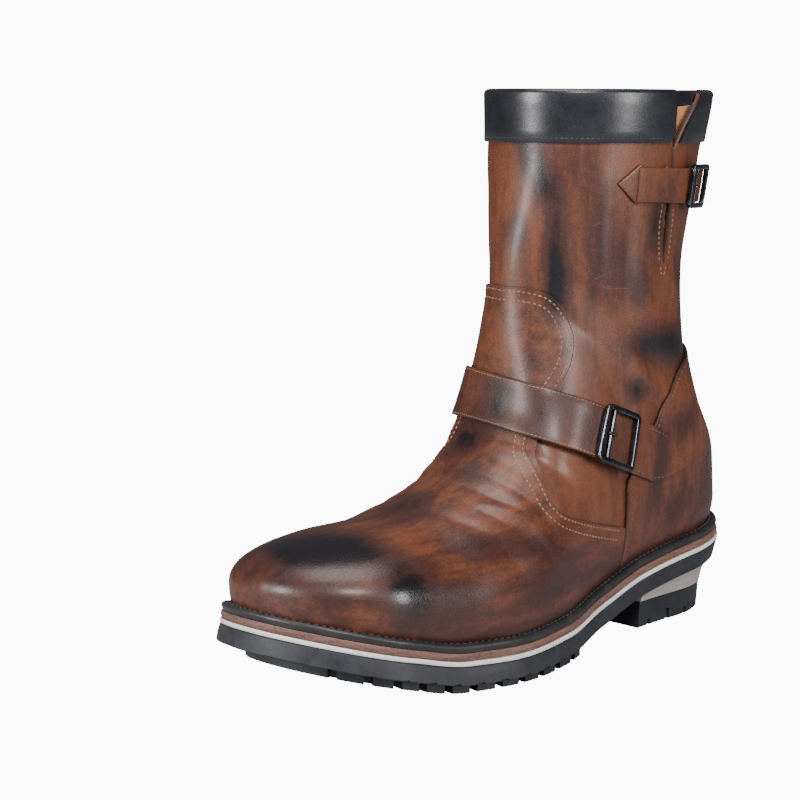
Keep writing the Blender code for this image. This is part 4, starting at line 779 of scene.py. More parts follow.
def on_side(line, side, offset=0.0):
    return split([leather.side(y, z, side, offset) for y, z in line])


def inset(points, normals, inward, offset):
    """A path moved sideways over the leather and then lifted off it by offset."""
    points, normals = even(points, normals, STEP)
    moved = points + np.cross(normals, unit(np.gradient(points, axis=0))) * inward
    points, normals = split([leather.hit(p - n * DEEP, n) for p, n in zip(moved, normals)])
    return points + normals * offset, normals


def closed_over(parts, over):
    """One path up the outer side, over the given spots and down the inner side."""
    points = [*parts[1][0], *[p for p, _ in over], *parts[-1][0][::-1]]
    normals = [*parts[1][1], *[n for _, n in over], *parts[-1][1][::-1]]
    return points, normals


def vamp_path(inward, offset):
    """Points and normals along the vamp's edge, from the outer seam over the tongue."""
    parts = {side: on_side(vamp_edge(side)[1:-1][::-1], side) for side in (1, -1)}
    z = parts[1][0][-1][2]
    middle_y = COLLAR_CENTRE - TONGUE_AHEAD
    ends = [math.atan2(parts[s][0][-1][0], middle_y - parts[s][0][-1][1]) for s in (1, -1)]
    over = [leather.hit((0, middle_y, z), (math.sin(a), -math.cos(a), 0))
            for a in np.linspace(ends[0], ends[1], 14)[1:-1]]
    return inset(*closed_over(parts, over), inward, offset)


def counter_path(inward, offset):
    """Points and normals along the counter's top, from the outer seam round the back."""
    line = np.array([(y, float(counter_top(y))) for y in np.linspace(SEAM_Y, COUNTER_BACK, 46)])
    parts = {side: on_side(line, side) for side in (1, -1)}
    ends = [math.atan2(parts[s][0][-1][0], parts[s][0][-1][1] - COLLAR_CENTRE) for s in (1, -1)]
    over = []
    for a in np.linspace(ends[0], ends[1], 30)[1:-1]:
        way = (math.sin(a), math.cos(a), 0)
        y = leather.hit((0, COLLAR_CENTRE, line[-1, 1]), way)[0][1]
        over.append(leather.hit((0, COLLAR_CENTRE, float(counter_top(y))), way))
    return inset(*closed_over(parts, over), -inward, offset)


def even(points, normals, pitch):
    """Points and normals along a path, pitch apart."""
    points, normals = np.array(points), np.array(normals)
    lengths = lengths_of(points)
    places = np.linspace(0, lengths[-1], max(int(round(lengths[-1] / pitch)), 2) + 1)
    return at_lengths(places, lengths, points), unit(at_lengths(places, lengths, normals))


def bead(name, points, normals, across, tall, sides=8, pitch=0.002):
    """Flattened round bar along a path: across wide, tall high."""
    points, normals = even(points, normals, pitch)
    wide = unit(np.cross(unit(np.gradient(points, axis=0)), normals))
    loops = []
    for p, w, n, k in zip(points, wide, normals, range(len(points))):
        fade = 0.35 if k in (0, len(points) - 1) else 1.0
        turns = np.arange(sides) * 2 * math.pi / sides
        loops.append([p + fade * (w * across / 2 * math.cos(t) + n * tall / 2 * math.sin(t))
                      for t in turns])
    return loft(name, loops, angle=70)


MID = CURVE_GAP + VAMP_THICK / 2
bead("vamp_edge_bead", *vamp_path(0.0002, MID), 0.0014, 0.0015)
bead("counter_top_bead", *counter_path(0.0001, MID), 0.0013, 0.0015)
seam_zs = np.linspace(SHAFT_HEIGHT * 0.295, float(seat(SEAM_Y)) + 0.0012, 24)
for side, name in ((1, "outer"), (-1, "inner")):
    line = np.array([(SEAM_Y + 0.0001, z) for z in seam_zs])
    bead("counter_seam_bead_" + name, *on_side(line, side, MID), 0.0013, 0.0016)
print("Edges rounded")

# %% [markdown]
# ## The collar band
# A strip of smooth black leather is folded over the rim and sewn down below. Its cross-section
# is a hook: down the outside, over the rim and a little way down the inside. The band is this
# hook swept round the shaft, once in front of the slit and once behind it, parted at the zip.

# %% Collar bands
BAND_HEIGHT = 0.0240
BAND_OUT = 0.0019
BELOW_RIM = 0.0012


def rim_spot(angle, depth, offset):
    """Point at an angle round the shaft, a depth below the rim."""
    point = np.array([0.0495 * math.cos(angle), COLLAR_CENTRE + 0.0595 * math.sin(angle), 0.0])
    for _ in range(3):
        origin = (0, COLLAR_CENTRE, rim_height(point[0], point[1]) - max(depth, BELOW_RIM))
        point, normal = last.hit(origin, (math.cos(angle), math.sin(angle), 0))
    point = point + normal * offset
    point[2] = rim_height(point[0], point[1]) - depth
    return point, normal


def rim_angle(y, depth, side):
    height = rim_height(side * BALL_WIDTH * 0.43, y) - max(depth, BELOW_RIM)
    point, _ = last.side(y, height, side)
    return math.atan2(point[1] - COLLAR_CENTRE, point[0])


def zip_angle(depth, side):
    height = (SHAFT_HEIGHT - depth) / SHAFT_HEIGHT
    y = float(ease(height, pick(ZIP_TABLE, 1), pick(ZIP_TABLE, 0)))
    angle = rim_angle(y * SOLE_LENGTH + side * (ZIP_SLOT / 2 + PIECE_GAP), depth, -1)
    return angle - 2 * math.pi if angle > 0 and side < 0 else angle


def band_ends(depth, front):
    edge = slit_edges(depth / SLIT_DEPTH)[0 if front else 1] + PIECE_GAP * (-1 if front else 1)
    return rim_angle(edge, depth, 1), zip_angle(depth, -1 if front else 1)


def band_hook(reach):
    """(depth, offset) points of the hook's section, from the outer foot round to it again."""
    outer, gap, inner = BAND_OUT, 0.0007, -WALL - BAND_OUT
    hook = [(reach, outer - 0.0004), (reach - 0.0006, outer)]
    hook += [(reach * s, outer) for s in (0.75, 0.5, 0.25)]
    centre, radius = (outer + inner) / 2, (outer - inner) / 2
    for turn in np.linspace(0, math.pi, 9):
        hook.append((0.0004 - radius * 0.75 * math.sin(turn), centre + radius * math.cos(turn)))
    hook += [(0.006, inner), (0.006, inner + 0.0010), (0.0006, inner + 0.0010),
             (0.0006, gap), (reach * 0.5, gap), (reach, gap)]
    return hook


def make_band(name, front):
    start, end = band_ends(0.0, front)
    run = abs(end - start) * BALL_WIDTH / 2
    corner = 0.0060
    shares = np.unique(np.r_[np.linspace(0, corner / run, 9), np.linspace(corner / run, 1, 70)])
    loops = []
    for share in shares:
        along = min(share * run / corner, 1.0) if front else 1.0
        reach = BAND_HEIGHT - corner * (1 - math.sqrt(max(1 - (1 - along) ** 2, 0)))
        loop = []
        for depth, offset in band_hook(reach):
            first, final = band_ends(max(depth, 0.0), front)
            loop.append(rim_spot(first + (final - first) * share, depth, offset)[0])
        loops.append(loop)
    return loft(name, loops)


make_band("collar_front", True)
make_band("collar_rear", False)
print("Collar bands swept")

# %% [markdown]
# ## Straps
# Both straps lie in a tilted plane round the leg. A belt finds its places: rays in that plane,
# cast from inside, meet the last where the strap runs. Each strap is a rounded strip swept
# along the belt, and a sewn end is the same strip drawn to a point.

# %% Belts and strips
class Belt:
    """Places on the last along a strap in one tilted plane round an inner point."""

    def __init__(self, centre, slope, cant):
        self.centre = np.array(centre, float)
        self.out = np.array([1, 0, cant]) / math.hypot(1, cant)
        self.back = np.array([0, 1, slope]) / math.hypot(1, slope)
        self.up = np.cross(self.out, self.back)
        self.angles = np.radians(np.arange(-215, 181, 1.5))
        self.spots = np.array([self.ray(a, 0)[0] for a in self.angles])
        self.lengths = lengths_of(self.spots)

    def ray(self, angle, across):
        way = math.cos(angle) * self.out + math.sin(angle) * self.back
        return last.hit(self.centre + self.up * across, way)

    def mark(self, y, side=1):
        """Length along the belt at which one side of it passes y."""
        outer = (self.angles >= -math.pi / 2) & (self.angles <= math.pi / 2)
        chosen = outer if side > 0 else self.angles < -math.pi / 2
        order = np.argsort(self.spots[chosen, 1])
        return float(np.interp(y, self.spots[chosen, 1][order], self.lengths[chosen][order]))

    def spot(self, along, across, offset):
        point, normal = self.ray(float(np.interp(along, self.lengths, self.angles)), across)
        return point + normal * offset, normal

    def strip(self, name, rows, thick, bevel=0.0006):
        """Strap through rows of (length along, width, height of its underside)."""
        loops = []
        for along, width, near in rows:
            section_points = rounded(max(width, 2.4 * bevel), thick, min(bevel, thick / 2.2))
            flat = []
            for k, (w, h) in enumerate(section_points):
                flat.append((w, h))
                if k in (3, 11):
                    step = (section_points[(k + 1) % 16][0] - w) / 6
                    flat += [(w + step * m, h) for m in range(1, 6)]
            loops.append([self.spot(along, w, near + h)[0] for w, h in flat])
        return loft(name, loops)


STRAP_THICK = 0.0020
ANCHOR_THICK = 0.0014
INSTEP_SLOPE, INSTEP_CANT, TOP_SLOPE = -0.384, -0.101, -0.070
axis_y = SOLE_LENGTH * 0.1475
instep = Belt((0, axis_y, SHAFT_HEIGHT * 0.4590 + INSTEP_SLOPE * axis_y), INSTEP_SLOPE, INSTEP_CANT)
top = Belt((0, COLLAR_CENTRE, SHAFT_HEIGHT * 0.8610 + TOP_SLOPE * COLLAR_CENTRE), TOP_SLOPE, 0.0)
print("Belts run", instep.lengths[-1].round(3), "and", top.lengths[-1].round(3), "m round")

# %% The instep strap and its sewn anchor
INSTEP_WIDTH = 0.0255
SEWN_WIDTH, SEWN_POINT, POINT_POWER = INSTEP_WIDTH * 1.02, INSTEP_WIDTH * 0.92, 1.3
BUCKLE_PLACE, BAR_CLEAR = 0.25, 0.0006
INSTEP_GROUND = LEATHER_TOP + 0.0008
INSTEP_RAISED = INSTEP_GROUND + ANCHOR_THICK + CURVE_GAP
instep_buckle_at = instep.mark(SOLE_LENGTH * 0.0930)
INSTEP_BUCKLE = (0.0235, INSTEP_WIDTH + 0.0030, 0.0030)


def strap_rows(first, end, anchor_at, width, ground, raised, reach, blend, count):
    rows = []
    for along in np.linspace(first, end, count):
        near = ground + (raised - ground) * float(smooth_step((along - anchor_at + reach) / blend))
        rows.append((along, width, near))
    return rows


def make_instep():
    first = instep.mark(SEAM_Y - ZIP_SLOT / 2 - 4 * PIECE_GAP, -1)
    end = instep_buckle_at + INSTEP_BUCKLE[0] - BAR_CLEAR
    anchor_at = instep_buckle_at + INSTEP_BUCKLE[0] * BUCKLE_PLACE
    strap = strap_rows(first, end, anchor_at, INSTEP_WIDTH, INSTEP_GROUND, INSTEP_RAISED,
                       1.2 * INSTEP_WIDTH, 0.7 * INSTEP_WIDTH, 110)
    instep.strip("instep_strap_leather", strap, STRAP_THICK)
    shoulder = instep.mark(SOLE_LENGTH * 0.2350)
    rows = [(along, SEWN_WIDTH, INSTEP_GROUND)
            for along in np.linspace(anchor_at, shoulder, 22)]
    rows += [(shoulder + SEWN_POINT * s, SEWN_WIDTH * (1 - s ** POINT_POWER),
              INSTEP_GROUND) for s in (0.1, 0.25, 0.4, 0.55, 0.7, 0.85, 0.96)]
    instep.strip("instep_anchor_leather", rows, ANCHOR_THICK)
    return shoulder, strap


instep_shoulder, instep_rows = make_instep()
print("Instep strap made")

# %% The top strap and its sewn ends
TOP_WIDTH = 0.0170
TOP_GROUND = CURVE_GAP
TOP_RAISED = TOP_GROUND + ANCHOR_THICK + CURVE_GAP
top_tip = top.mark(SOLE_LENGTH * 0.1423)
top_square = top_tip + TOP_WIDTH * 0.62
top_buckle_at = top.mark(SOLE_LENGTH * 0.2790)
TOP_BUCKLE = (0.0205, TOP_WIDTH + 1.7 * 0.0026, 0.0026)


def make_top():
    arrow = [(top_tip + (top_square - top_tip) * s, TOP_WIDTH * 1.05 * s + 0.0006, TOP_GROUND)
             for s in np.linspace(0.02, 1.06, 9)]
    top.strip("top_arrow_leather", arrow, STRAP_THICK * 0.5, 0.0004)
    anchor_at = top_buckle_at + TOP_BUCKLE[0] * BUCKLE_PLACE
    rows = strap_rows(top_square, top_buckle_at + TOP_BUCKLE[0] - BAR_CLEAR, anchor_at, TOP_WIDTH,
                      TOP_GROUND, TOP_RAISED, 1.3 * TOP_WIDTH, 0.9 * TOP_WIDTH, 44)
    top.strip("top_strap_leather", rows, STRAP_THICK)
    shoulder = top_buckle_at + TOP_BUCKLE[0] * 1.6
    rows = [(along, TOP_WIDTH, TOP_GROUND) for along in np.linspace(anchor_at, shoulder, 16)]
    rows += [(shoulder + TOP_WIDTH * 0.6 * s, TOP_WIDTH * (1 - s), TOP_GROUND)
             for s in (0.2, 0.5, 0.8, 0.95)]
    top.strip("top_anchor_leather", rows, ANCHOR_THICK)


make_top()
print("Top strap made")

# %% [markdown]
# ## Buckles
# A buckle is a bent wire frame with a second bar beside its front bar and a short prong. It is
# easiest to model flat on the table: a plane is inset, its middle taken out, and the frame is
# extruded and bevelled round. Then every point is wrapped onto the belt, so that the frame
# bends with the strap under it.

# %% Model a flat buckle and wrap it on its belt
def wrap(obj, belt, start, lift):
    """Move flat points (along, across, up) onto the belt."""
    for vertex in obj.data.vertices:
        along, across, up = vertex.co
        point, _ = belt.spot(start + along, across, lift + up)
        vertex.co = Vector(point + SHIFT)
    return tidy(obj, 60)


def flat_bar(name, centre, size, bevel):
    """Rounded bar lying on the table."""
    obj = cube(name, centre, size)
    cuts = max(int(max(size) / 0.002), 1)
    apply_modifier(obj, 'BEVEL', width=bevel, segments=4, limit_method='ANGLE')
    long_axis = int(np.argmax(size))
    bpy.ops.object.mode_set(mode='EDIT')
    for k in range(1, cuts):
        spot, way = list(centre), [0, 0, 0]
        spot[long_axis] += size[long_axis] * (k / cuts - 0.5)
        way[long_axis] = 1
        bpy.ops.mesh.select_all(action='SELECT')
        bpy.ops.mesh.bisect(plane_co=spot, plane_no=way)
    bpy.ops.object.mode_set(mode='OBJECT')
    return obj


def join(name, objs):
    obj = merge(objs)
    obj.name = name
    obj.data.name = name
    pieces[name] = obj
    return obj


def make_buckle(name, belt, start, size, base):
    length, width, wire = size
    bpy.ops.object.select_all(action='DESELECT')
    bpy.ops.mesh.primitive_plane_add(size=1, location=(length / 2, 0, 0))
    ring = bpy.context.object
    ring.scale = (length, width, 1)
    bpy.ops.object.transform_apply(location=True, rotation=True, scale=True)
    bpy.ops.object.mode_set(mode='EDIT')
    bpy.ops.mesh.select_all(action='SELECT')
    bpy.ops.mesh.bevel(offset=wire * 1.1, segments=5, affect='VERTICES')
    bpy.ops.mesh.inset(thickness=wire * 0.95, use_even_offset=True)
    bpy.ops.mesh.delete(type='FACE')
    bpy.ops.mesh.select_all(action='SELECT')
    bpy.ops.mesh.subdivide(number_cuts=3)
    bpy.ops.object.mode_set(mode='OBJECT')
    apply_modifier(ring, 'SOLIDIFY', thickness=wire, offset=0)
    apply_modifier(ring, 'BEVEL', width=wire * 0.42, segments=4, limit_method='ANGLE',
                   angle_limit=math.radians(60))
    bar = flat_bar("bar", (wire * 1.9, 0, wire * 0.05), (wire * 0.72, width - wire, wire * 0.72),
                   wire * 0.3)
    lift = base + PIECE_GAP + wire / 2
    frame_piece = join(name + "_frame", [ring, bar])
    wrap(frame_piece, belt, start, lift)
    prong = flat_bar("prong", (wire * 1.75, 0, wire * 0.55), (wire * 1.5, wire * 0.5, wire * 0.5),
                     wire * 0.22)
    tail = flat_bar("tail", (wire * 2.6, 0, wire * 0.05), (wire * 0.9, wire * 0.42, wire * 0.6),
                    wire * 0.18)
    prong = join(name + "_pin", [prong, tail])
    wrap(prong, belt, start, lift)


make_buckle("instep_buckle", instep, instep_buckle_at, INSTEP_BUCKLE, INSTEP_RAISED + STRAP_THICK)
make_buckle("top_buckle", top, top_buckle_at, TOP_BUCKLE, TOP_RAISED + STRAP_THICK)
print("Buckles wrapped on their straps")

# %% [markdown]
# ## Zip, gusset and slit edges
# Behind the slit sits a gusset of tan flesh-side leather, and behind the zip opening a black
# tape. Both are strips on the inside of the wall. The zip's teeth are one tooth, modelled once
# and copied along the line, each copy turned to its place.

# %% Gusset, tape and the slit's rolled edges
def sheet(name, side, rows, across, far, thick):
    """Thin sheet on the wall from rows of side-view points and the step across it."""
    outer, inner = [], []
    for (y, z), (dy, dz) in rows:
        spots = [(y + dy * w, z + dz * w) for w in np.linspace(-0.5, 0.5, across + 1)]
        outer.append([last.side(a, b, side, far)[0] for a, b in spots])
        inner.append([last.side(a, b, side, far - thick)[0] for a, b in spots])
    outer, inner = np.array(outer), np.array(inner)
    ids = np.arange(outer.shape[0] * outer.shape[1]).reshape(outer.shape[:2])
    return make(name, *between(outer.reshape(-1, 3), inner.reshape(-1, 3), grid_faces(ids)))


rows = []
for depth in np.linspace(1.12, 0.0, 30):
    front, rear = slit_edges(min(depth, 1.0))
    height = slit_height(depth) - 0.0075 * float(smooth_step(1 - depth / 0.25))
    rows.append((((front + rear) / 2, height), (rear - front + 0.026, 0)))
sheet("gusset_leather", 1, rows, 14, -WALL - 0.0016, 0.0012)
zip_top = 0.945
sheet("zip_tape_cloth", -1, [(zip_point(t), zip_across(t) * 0.022)
                             for t in np.linspace(0.0, zip_top, 60)], 8, -WALL - 0.0008, 0.0009)
for end, name in ((0, "front"), (1, "rear")):
    line = np.array([(slit_edges(d)[end] + (0.0002 if end else -0.0002), slit_height(d))
                     for d in np.linspace(0.05 if end else 0.29, 0.995, 60)])
    points, normals = on_side(line, 1, -WALL / 2)
    bead("slit_bead_" + name, points, normals, 0.0016, WALL + 0.0010)
for end, name in ((-1, "front"), (1, "rear")):
    line = np.array([zip_point(t) + end * zip_across(t) * (ZIP_SLOT / 2 + 0.0001)
                     for t in np.linspace(0.02, 0.93, 70)])
    points, normals = on_side(line, -1, -WALL / 2)
    bead("zip_edge_" + name, points, normals, 0.0009, WALL + 0.0004)
print("Gusset, tape and edges made")


# %% Copies of one small shape along a path
def model_stitch():
    """A short fat thread, round in the middle and thin at its ends."""
    bpy.ops.object.select_all(action='DESELECT')
    bpy.ops.mesh.primitive_cylinder_add(vertices=6, radius=0.5, depth=1, end_fill_type='NGON',
                                        rotation=(0, math.pi / 2, 0))
    obj = bpy.context.object
    bpy.ops.object.transform_apply(location=True, rotation=True, scale=True)
    bpy.ops.object.mode_set(mode='EDIT')
    for cut_at in (-0.28, 0.28):
        bpy.ops.mesh.select_all(action='SELECT')
        bpy.ops.mesh.bisect(plane_co=(cut_at, 0, 0), plane_no=(1, 0, 0))
    bpy.ops.object.mode_set(mode='OBJECT')
    for vertex in obj.data.vertices:
        if abs(vertex.co.x) > 0.4:
            vertex.co.y *= 0.35
            vertex.co.z = vertex.co.z * 0.35 - 0.22
    return take_shape(obj)


def model_tooth():
    obj = cube("tooth", (0, 0, 0), (1, 1, 1))
    bpy.ops.object.mode_set(mode='EDIT')
    bpy.ops.mesh.bevel(offset=0.18, segments=1)
    bpy.ops.object.mode_set(mode='OBJECT')
    return take_shape(obj)


STITCH, TOOTH = model_stitch(), model_tooth()


def copies(name, shape, points, normals, sizes, shift_across=None):
    """Copies of a shape at points: x along the path, y across, z along the normal."""
    verts, faces = shape
    along = unit(np.gradient(points, axis=0))
    across = unit(np.cross(normals, along))
    out, all_faces = [], []
    for k, (p, a, c, n) in enumerate(zip(points, along, across, normals)):
        slide = shift_across[k % len(shift_across)] if shift_across else 0.0
        local = verts * np.array(sizes)
        out.append(p + c * slide + local[:, :1] * a + local[:, 1:2] * c + local[:, 2:] * n)
        all_faces += [[v + k * len(verts) for v in face] for face in faces]
    return make(name, np.concatenate(out), all_faces, 60)


EDGE_THREAD, THREAD, SLIT_THREAD = 0.00045, 0.0006, 0.0007
THICK_THREAD, WELT_THREAD = 0.00075, 0.0011


def stitches(name, points, normals, pitch=0.0027, thread=THICK_THREAD, share=0.72):
    points, normals = even(points, normals, pitch)
    return copies(name, STITCH, points[1:-1], normals[1:-1],
                  (pitch * share, thread, thread * 0.75))


teeth_points = np.array([zip_point(t) for t in np.linspace(0.012, 0.895, 200)])
spots = [last.side(y, z, -1, -WALL + 0.0009) for y, z in teeth_points]
points, normals = even(*split(spots), 0.0011)
copies("zip_teeth_row", TOOTH, points, normals, (0.0009, 0.0034, 0.0016), (-0.0011, 0.0011))
print("Zip teeth:", len(points))

# %% Stitch rows of the upper
EDGE_ROW, INNER_ROW, TOP_ROW, SEAM_ROW, COLLAR_ROW = 0.0017, 0.0062, 0.0019, 0.0036, 0.0022
SEAM_START = 0.0795
stitches("vamp_stitches_edge", *vamp_path(EDGE_ROW, LEATHER_TOP))
stitches("vamp_stitches_inner", *vamp_path(INNER_ROW, LEATHER_TOP))
stitches("counter_stitches_top", *counter_path(TOP_ROW, LEATHER_TOP))
for side, name in ((1, "outer"), (-1, "inner")):
    heights = np.linspace(SEAM_START, float(seat(SEAM_Y)) + 0.003, 30)
    line = np.array([(SEAM_Y + SEAM_ROW, z) for z in heights])
    stitches("counter_stitches_seam_" + name, *on_side(line, side, LEATHER_TOP))
for end, name, sign in ((0, "front", -1), (1, "rear", 1)):
    line = np.array([(slit_edges(d)[end] + sign * 0.0028, slit_height(d))
                     for d in np.linspace(0.40 if end == 0 else 0.50, 1.0, 30)])
    stitches("slit_stitches_" + name, *on_side(line, 1, 0.0), thread=SLIT_THREAD)
line = [(SLIT_Y - 0.0026, slit_height(1.0)), (SLIT_Y - 0.001, slit_height(1.06)),
        (SLIT_Y + 0.001, slit_height(1.06)), (SLIT_Y + 0.0026, slit_height(1.0))]
stitches("slit_stitches_end", *on_side(np.array(line), 1, 0.0), thread=SLIT_THREAD)
for end, name in ((-1, "front"), (1, "rear")):
    line = np.array([zip_point(t) + end * zip_across(t) * (ZIP_SLOT / 2 + 0.0028)
                     for t in np.linspace(0.06, 0.90, 70)])
    stitches("zip_stitches_" + name, *on_side(line, -1, 0.0), thread=THREAD)
for name, from_slit, from_zip in (("front", -0.10, 0.03), ("rear", 0.02, -0.03)):
    start, end = band_ends(BAND_HEIGHT, name == "front")
    spots = [rim_spot(a, BAND_HEIGHT - COLLAR_ROW, BAND_OUT)
             for a in np.linspace(start + from_slit, end + from_zip, 80)]
    stitches("collar_stitches_" + name, *split(spots), pitch=0.0025, thread=THREAD)
print("Upper sewn")


# %% Stitch rows of the straps
STRAP_ROW, ANCHOR_ROW = 0.0011, 0.0022


def belt_row(belt, rows, offset):
    return split([belt.spot(along, across, offset) for along, across in rows])


for sign, name in ((1, "upper"), (-1, "lower")):
    spots = [instep.spot(along, sign * (width / 2 - STRAP_ROW), near + STRAP_THICK)
             for along, width, near in instep_rows[:-6]]
    stitches("strap_edge_" + name, *split(spots), pitch=0.0021, thread=EDGE_THREAD, share=0.8)
half = TOP_WIDTH / 2
arrow_top = TOP_GROUND + STRAP_THICK * 0.5
for sign, name in ((1, "upper"), (-1, "lower")):
    rows = [(top_tip + 0.0012 + (top_square - top_tip - 0.001) * s,
             sign * (half * 1.05 * s - 0.0008 * s)) for s in np.linspace(0.02, 1, 10)]
    stitches("top_stitches_arrow_" + name, *belt_row(top, rows, arrow_top), thread=THREAD)
for k, along in enumerate((0.0012, 0.0030)):
    rows = [(top_square + along, w) for w in np.linspace(-half + 0.001, half - 0.001, 8)]
    stitches("top_stitches_square_" + "ab"[k], *belt_row(top, rows, TOP_GROUND + STRAP_THICK),
             thread=THREAD)
half = SEWN_WIDTH / 2
for sign, name in ((1, "upper"), (-1, "lower")):
    rows = [(a, sign * (half - ANCHOR_ROW)) for a in
            np.linspace(instep_buckle_at + INSTEP_BUCKLE[0] + 0.002, instep_shoulder, 16)]
    rows += [(instep_shoulder + SEWN_POINT * s,
              sign * (half * (1 - s ** POINT_POWER) - ANCHOR_ROW * (1 - s)))
             for s in (0.2, 0.4, 0.6, 0.8, 0.9)]
    stitches("anchor_stitches_" + name, *belt_row(instep, rows, INSTEP_GROUND + ANCHOR_THICK),
             thread=THREAD)
print("Straps sewn")

# %% [markdown]
# ## Slider and pull tab
# The slider grips the teeth and carries a small bridge, and the pull tab hangs from it by its
# eye. Both are bevelled cubes at the place of their solids, and the tab's eye and waist are cut
# out.
# The tab swings on the CAD's hinge, so it rides on the pull tab's body.

# %% Zip slider and pull tab
def cube_between(name, low, high):
    low, high = np.array(low), np.array(high)
    return cube(name, (low + high) / 2, high - low)


BRIDGE_HEIGHT = 0.25
WIRE, POSTS_APART, RAIL_REACH = 0.0007, 0.0020, 0.0027
EYE_HALF, WAIST, WAIST_END, CLEAR = 0.0013, 0.0009, 0.0070, 0.01
slide_low, slide_high = (np.array(c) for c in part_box("zip_slider"))
tab_low, tab_high = (np.array(c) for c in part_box("zip_pull_tab"))
print("Slider", slide_low.round(4), slide_high.round(4), "tab", tab_low.round(4), tab_high.round(4))
body = cube_between("slider_body", (slide_high[0] - 0.0034, slide_low[1], slide_low[2]), slide_high)
apply_modifier(body, 'BEVEL', width=0.0011, segments=4, limit_method='ANGLE')
mid_y, mid_z = (slide_low[1] + slide_high[1]) / 2, BRIDGE_HEIGHT
posts = [cube_between("post", (slide_low[0], mid_y - WIRE, z - WIRE),
                      (slide_high[0] - 0.0030, mid_y + WIRE, z + WIRE))
         for z in (mid_z - POSTS_APART, mid_z + POSTS_APART)]
rail = cube_between("rail", (slide_low[0], mid_y - WIRE, mid_z - RAIL_REACH),
                    (slide_low[0] + 0.0011, mid_y + WIRE, mid_z + RAIL_REACH))
for obj in (*posts, rail):
    apply_modifier(obj, 'BEVEL', width=0.0004, segments=3, limit_method='ANGLE')
tidy(join("zip_slider_metal", [body, *posts, rail]), 50)

tab = cube_between("pull_tab_metal", tab_low, tab_high)
pieces["pull_tab_metal"] = tab
eye = cube_between("eye", (tab_low[0] - CLEAR, mid_y - EYE_HALF, tab_high[2] - 0.0054),
                   (tab_high[0] + CLEAR, mid_y + EYE_HALF, tab_high[2] - 0.0014))
cut(tab, eye)
for sign in (1, -1):
    edge = mid_y + sign * (tab_high[1] - tab_low[1]) / 2
    low_y, high_y = sorted((edge, edge - sign * WAIST))
    cut(tab, cube_between("trim", (tab_low[0] - CLEAR, low_y, tab_low[2] + WAIST_END),
                          (tab_high[0] + CLEAR, high_y, tab_high[2] - WAIST_END)))
apply_modifier(tab, 'BEVEL', width=0.0004, segments=3, limit_method='ANGLE')
tidy(tab, 50)
print("Slider and tab made")

# %% [markdown]
# ## The sole
# Under the upper lie the stitched welt, the leather midsole, a white strip, the lugged rubber
# sole and the stacked heel. All follow one outline, so they are lofted through it instead of
# being cut from blocks, and outlines drawn in above and below round their edges. The lugs'
# notches are one bevelled block, copied to each gap and cut out together.

# %% Outlines and layers
STATIONS = 150


def layer_top(index):
    return sum(LAYERS[:index]) + index * LAYER_GAP


def outline(back, front, height, start=None, end=None, bend=1.0, count=STATIONS):
    """Outline loop grown by back at the heel and by front at the toe, between two places."""
    half = SOLE_LENGTH / 2
    low, high = (-half if end is None else end), (half if start is None else start)
    share = np.linspace(0, 1, count + 1)
    if start is None and end is None:
        places = (high + low) / 2 + (high - low) / 2 * np.cos(
            math.pi * (share - 0.25 * np.sin(2 * math.pi * share) / (2 * math.pi)))
    elif end is not None:
        places = low + (high - low) * np.cos(math.pi / 2 * share)
    else:
        places = high + (low - high) * np.sin(math.pi / 2 * share)
    depth = np.clip((half - places) / SOLE_LENGTH, 0, 1) ** bend
    grow = back + (front - back) * depth
    places = places + grow * np.sign(places) * np.abs(places / half) ** 6
    sides = []
    for side in (1, -1):
        sides.append(np.array([(middle(y) + side * half_width(y, side, g), y, height(y))
                               for y, g in zip(places, grow)]))
    return sides


def body_of(name, layers, angle=40):
    """Solid through outlines from top to bottom, capped by strips across the boot."""
    rows = len(layers[0][0])
    points = np.concatenate([np.concatenate(pair) for pair in layers])
    faces = []
    for k in range(len(layers) - 1):
        for side in (0, 1):
            for i in range(rows - 1):
                a = k * 2 * rows + side * rows + i
                faces.append([a, a + 1, a + 1 + 2 * rows, a + 2 * rows])
        for i in (0, rows - 1):
            a = k * 2 * rows + i
            faces.append([a, a + rows, a + 3 * rows, a + 2 * rows])
    for k in (0, len(layers) - 1):
        for i in range(rows - 1):
            a = k * 2 * rows + i
            faces.append([a, a + 1, a + 1 + rows, a + rows])
    return make(name, points, faces, angle)


def below(depth):
    return lambda y: seat(y) - depth


def soft_edge(name, index, grow_back, grow_front, top_in, low_in, sag=0.0):
    """A layer whose edge is rounded above and below."""
    top_depth, thick = layer_top(index), LAYERS[index]
    layers = []
    for share, drawn in ((0.0, top_in), (0.12, top_in * 0.3), (0.3, 0.0), (0.5, -sag),
                         (0.7, 0.0), (0.88, low_in * 0.3), (1.0, low_in)):
        layers.append(outline(grow_back - drawn, grow_front - drawn,
                              below(top_depth + thick * share)))
    return body_of(name, layers)


soft_edge("midsole_leather", 1, -0.0004, -0.0004, 0.0004, 0.0003, 0.0002)
soft_edge("rand_strip", 2, 0.0, 0.0, 0.0003, 0.0003, 0.0001)
welt_rings = []
for grow, depth in ((-0.0008, 0.0026), (-0.0005, 0.0018), (-0.0009, 0.0007), (-0.0017, 0.0),
                    (-0.0028, -0.0001), (-0.0036, 0.0005), (-0.0044, 0.0), (-0.0053, 0.0003),
                    (-0.0053, LAYERS[0]), (-0.0010, LAYERS[0])):
    outer, inner = outline(grow, grow, below(depth))
    welt_rings.append(np.concatenate([outer, inner[::-1][1:-1]]))
loft("welt_leather", welt_rings, closed=False, angle=50)
outer, inner = outline(-0.0036, -0.0036, below(0.0), count=400)
ring = there_and_back(outer, inner)
stitches("welt_stitches", ring, np.tile((0.0, 0.0, 1.0), (len(ring), 1)), pitch=0.0036,
         thread=WELT_THREAD, share=0.8)
print("Welt, midsole and strip made")

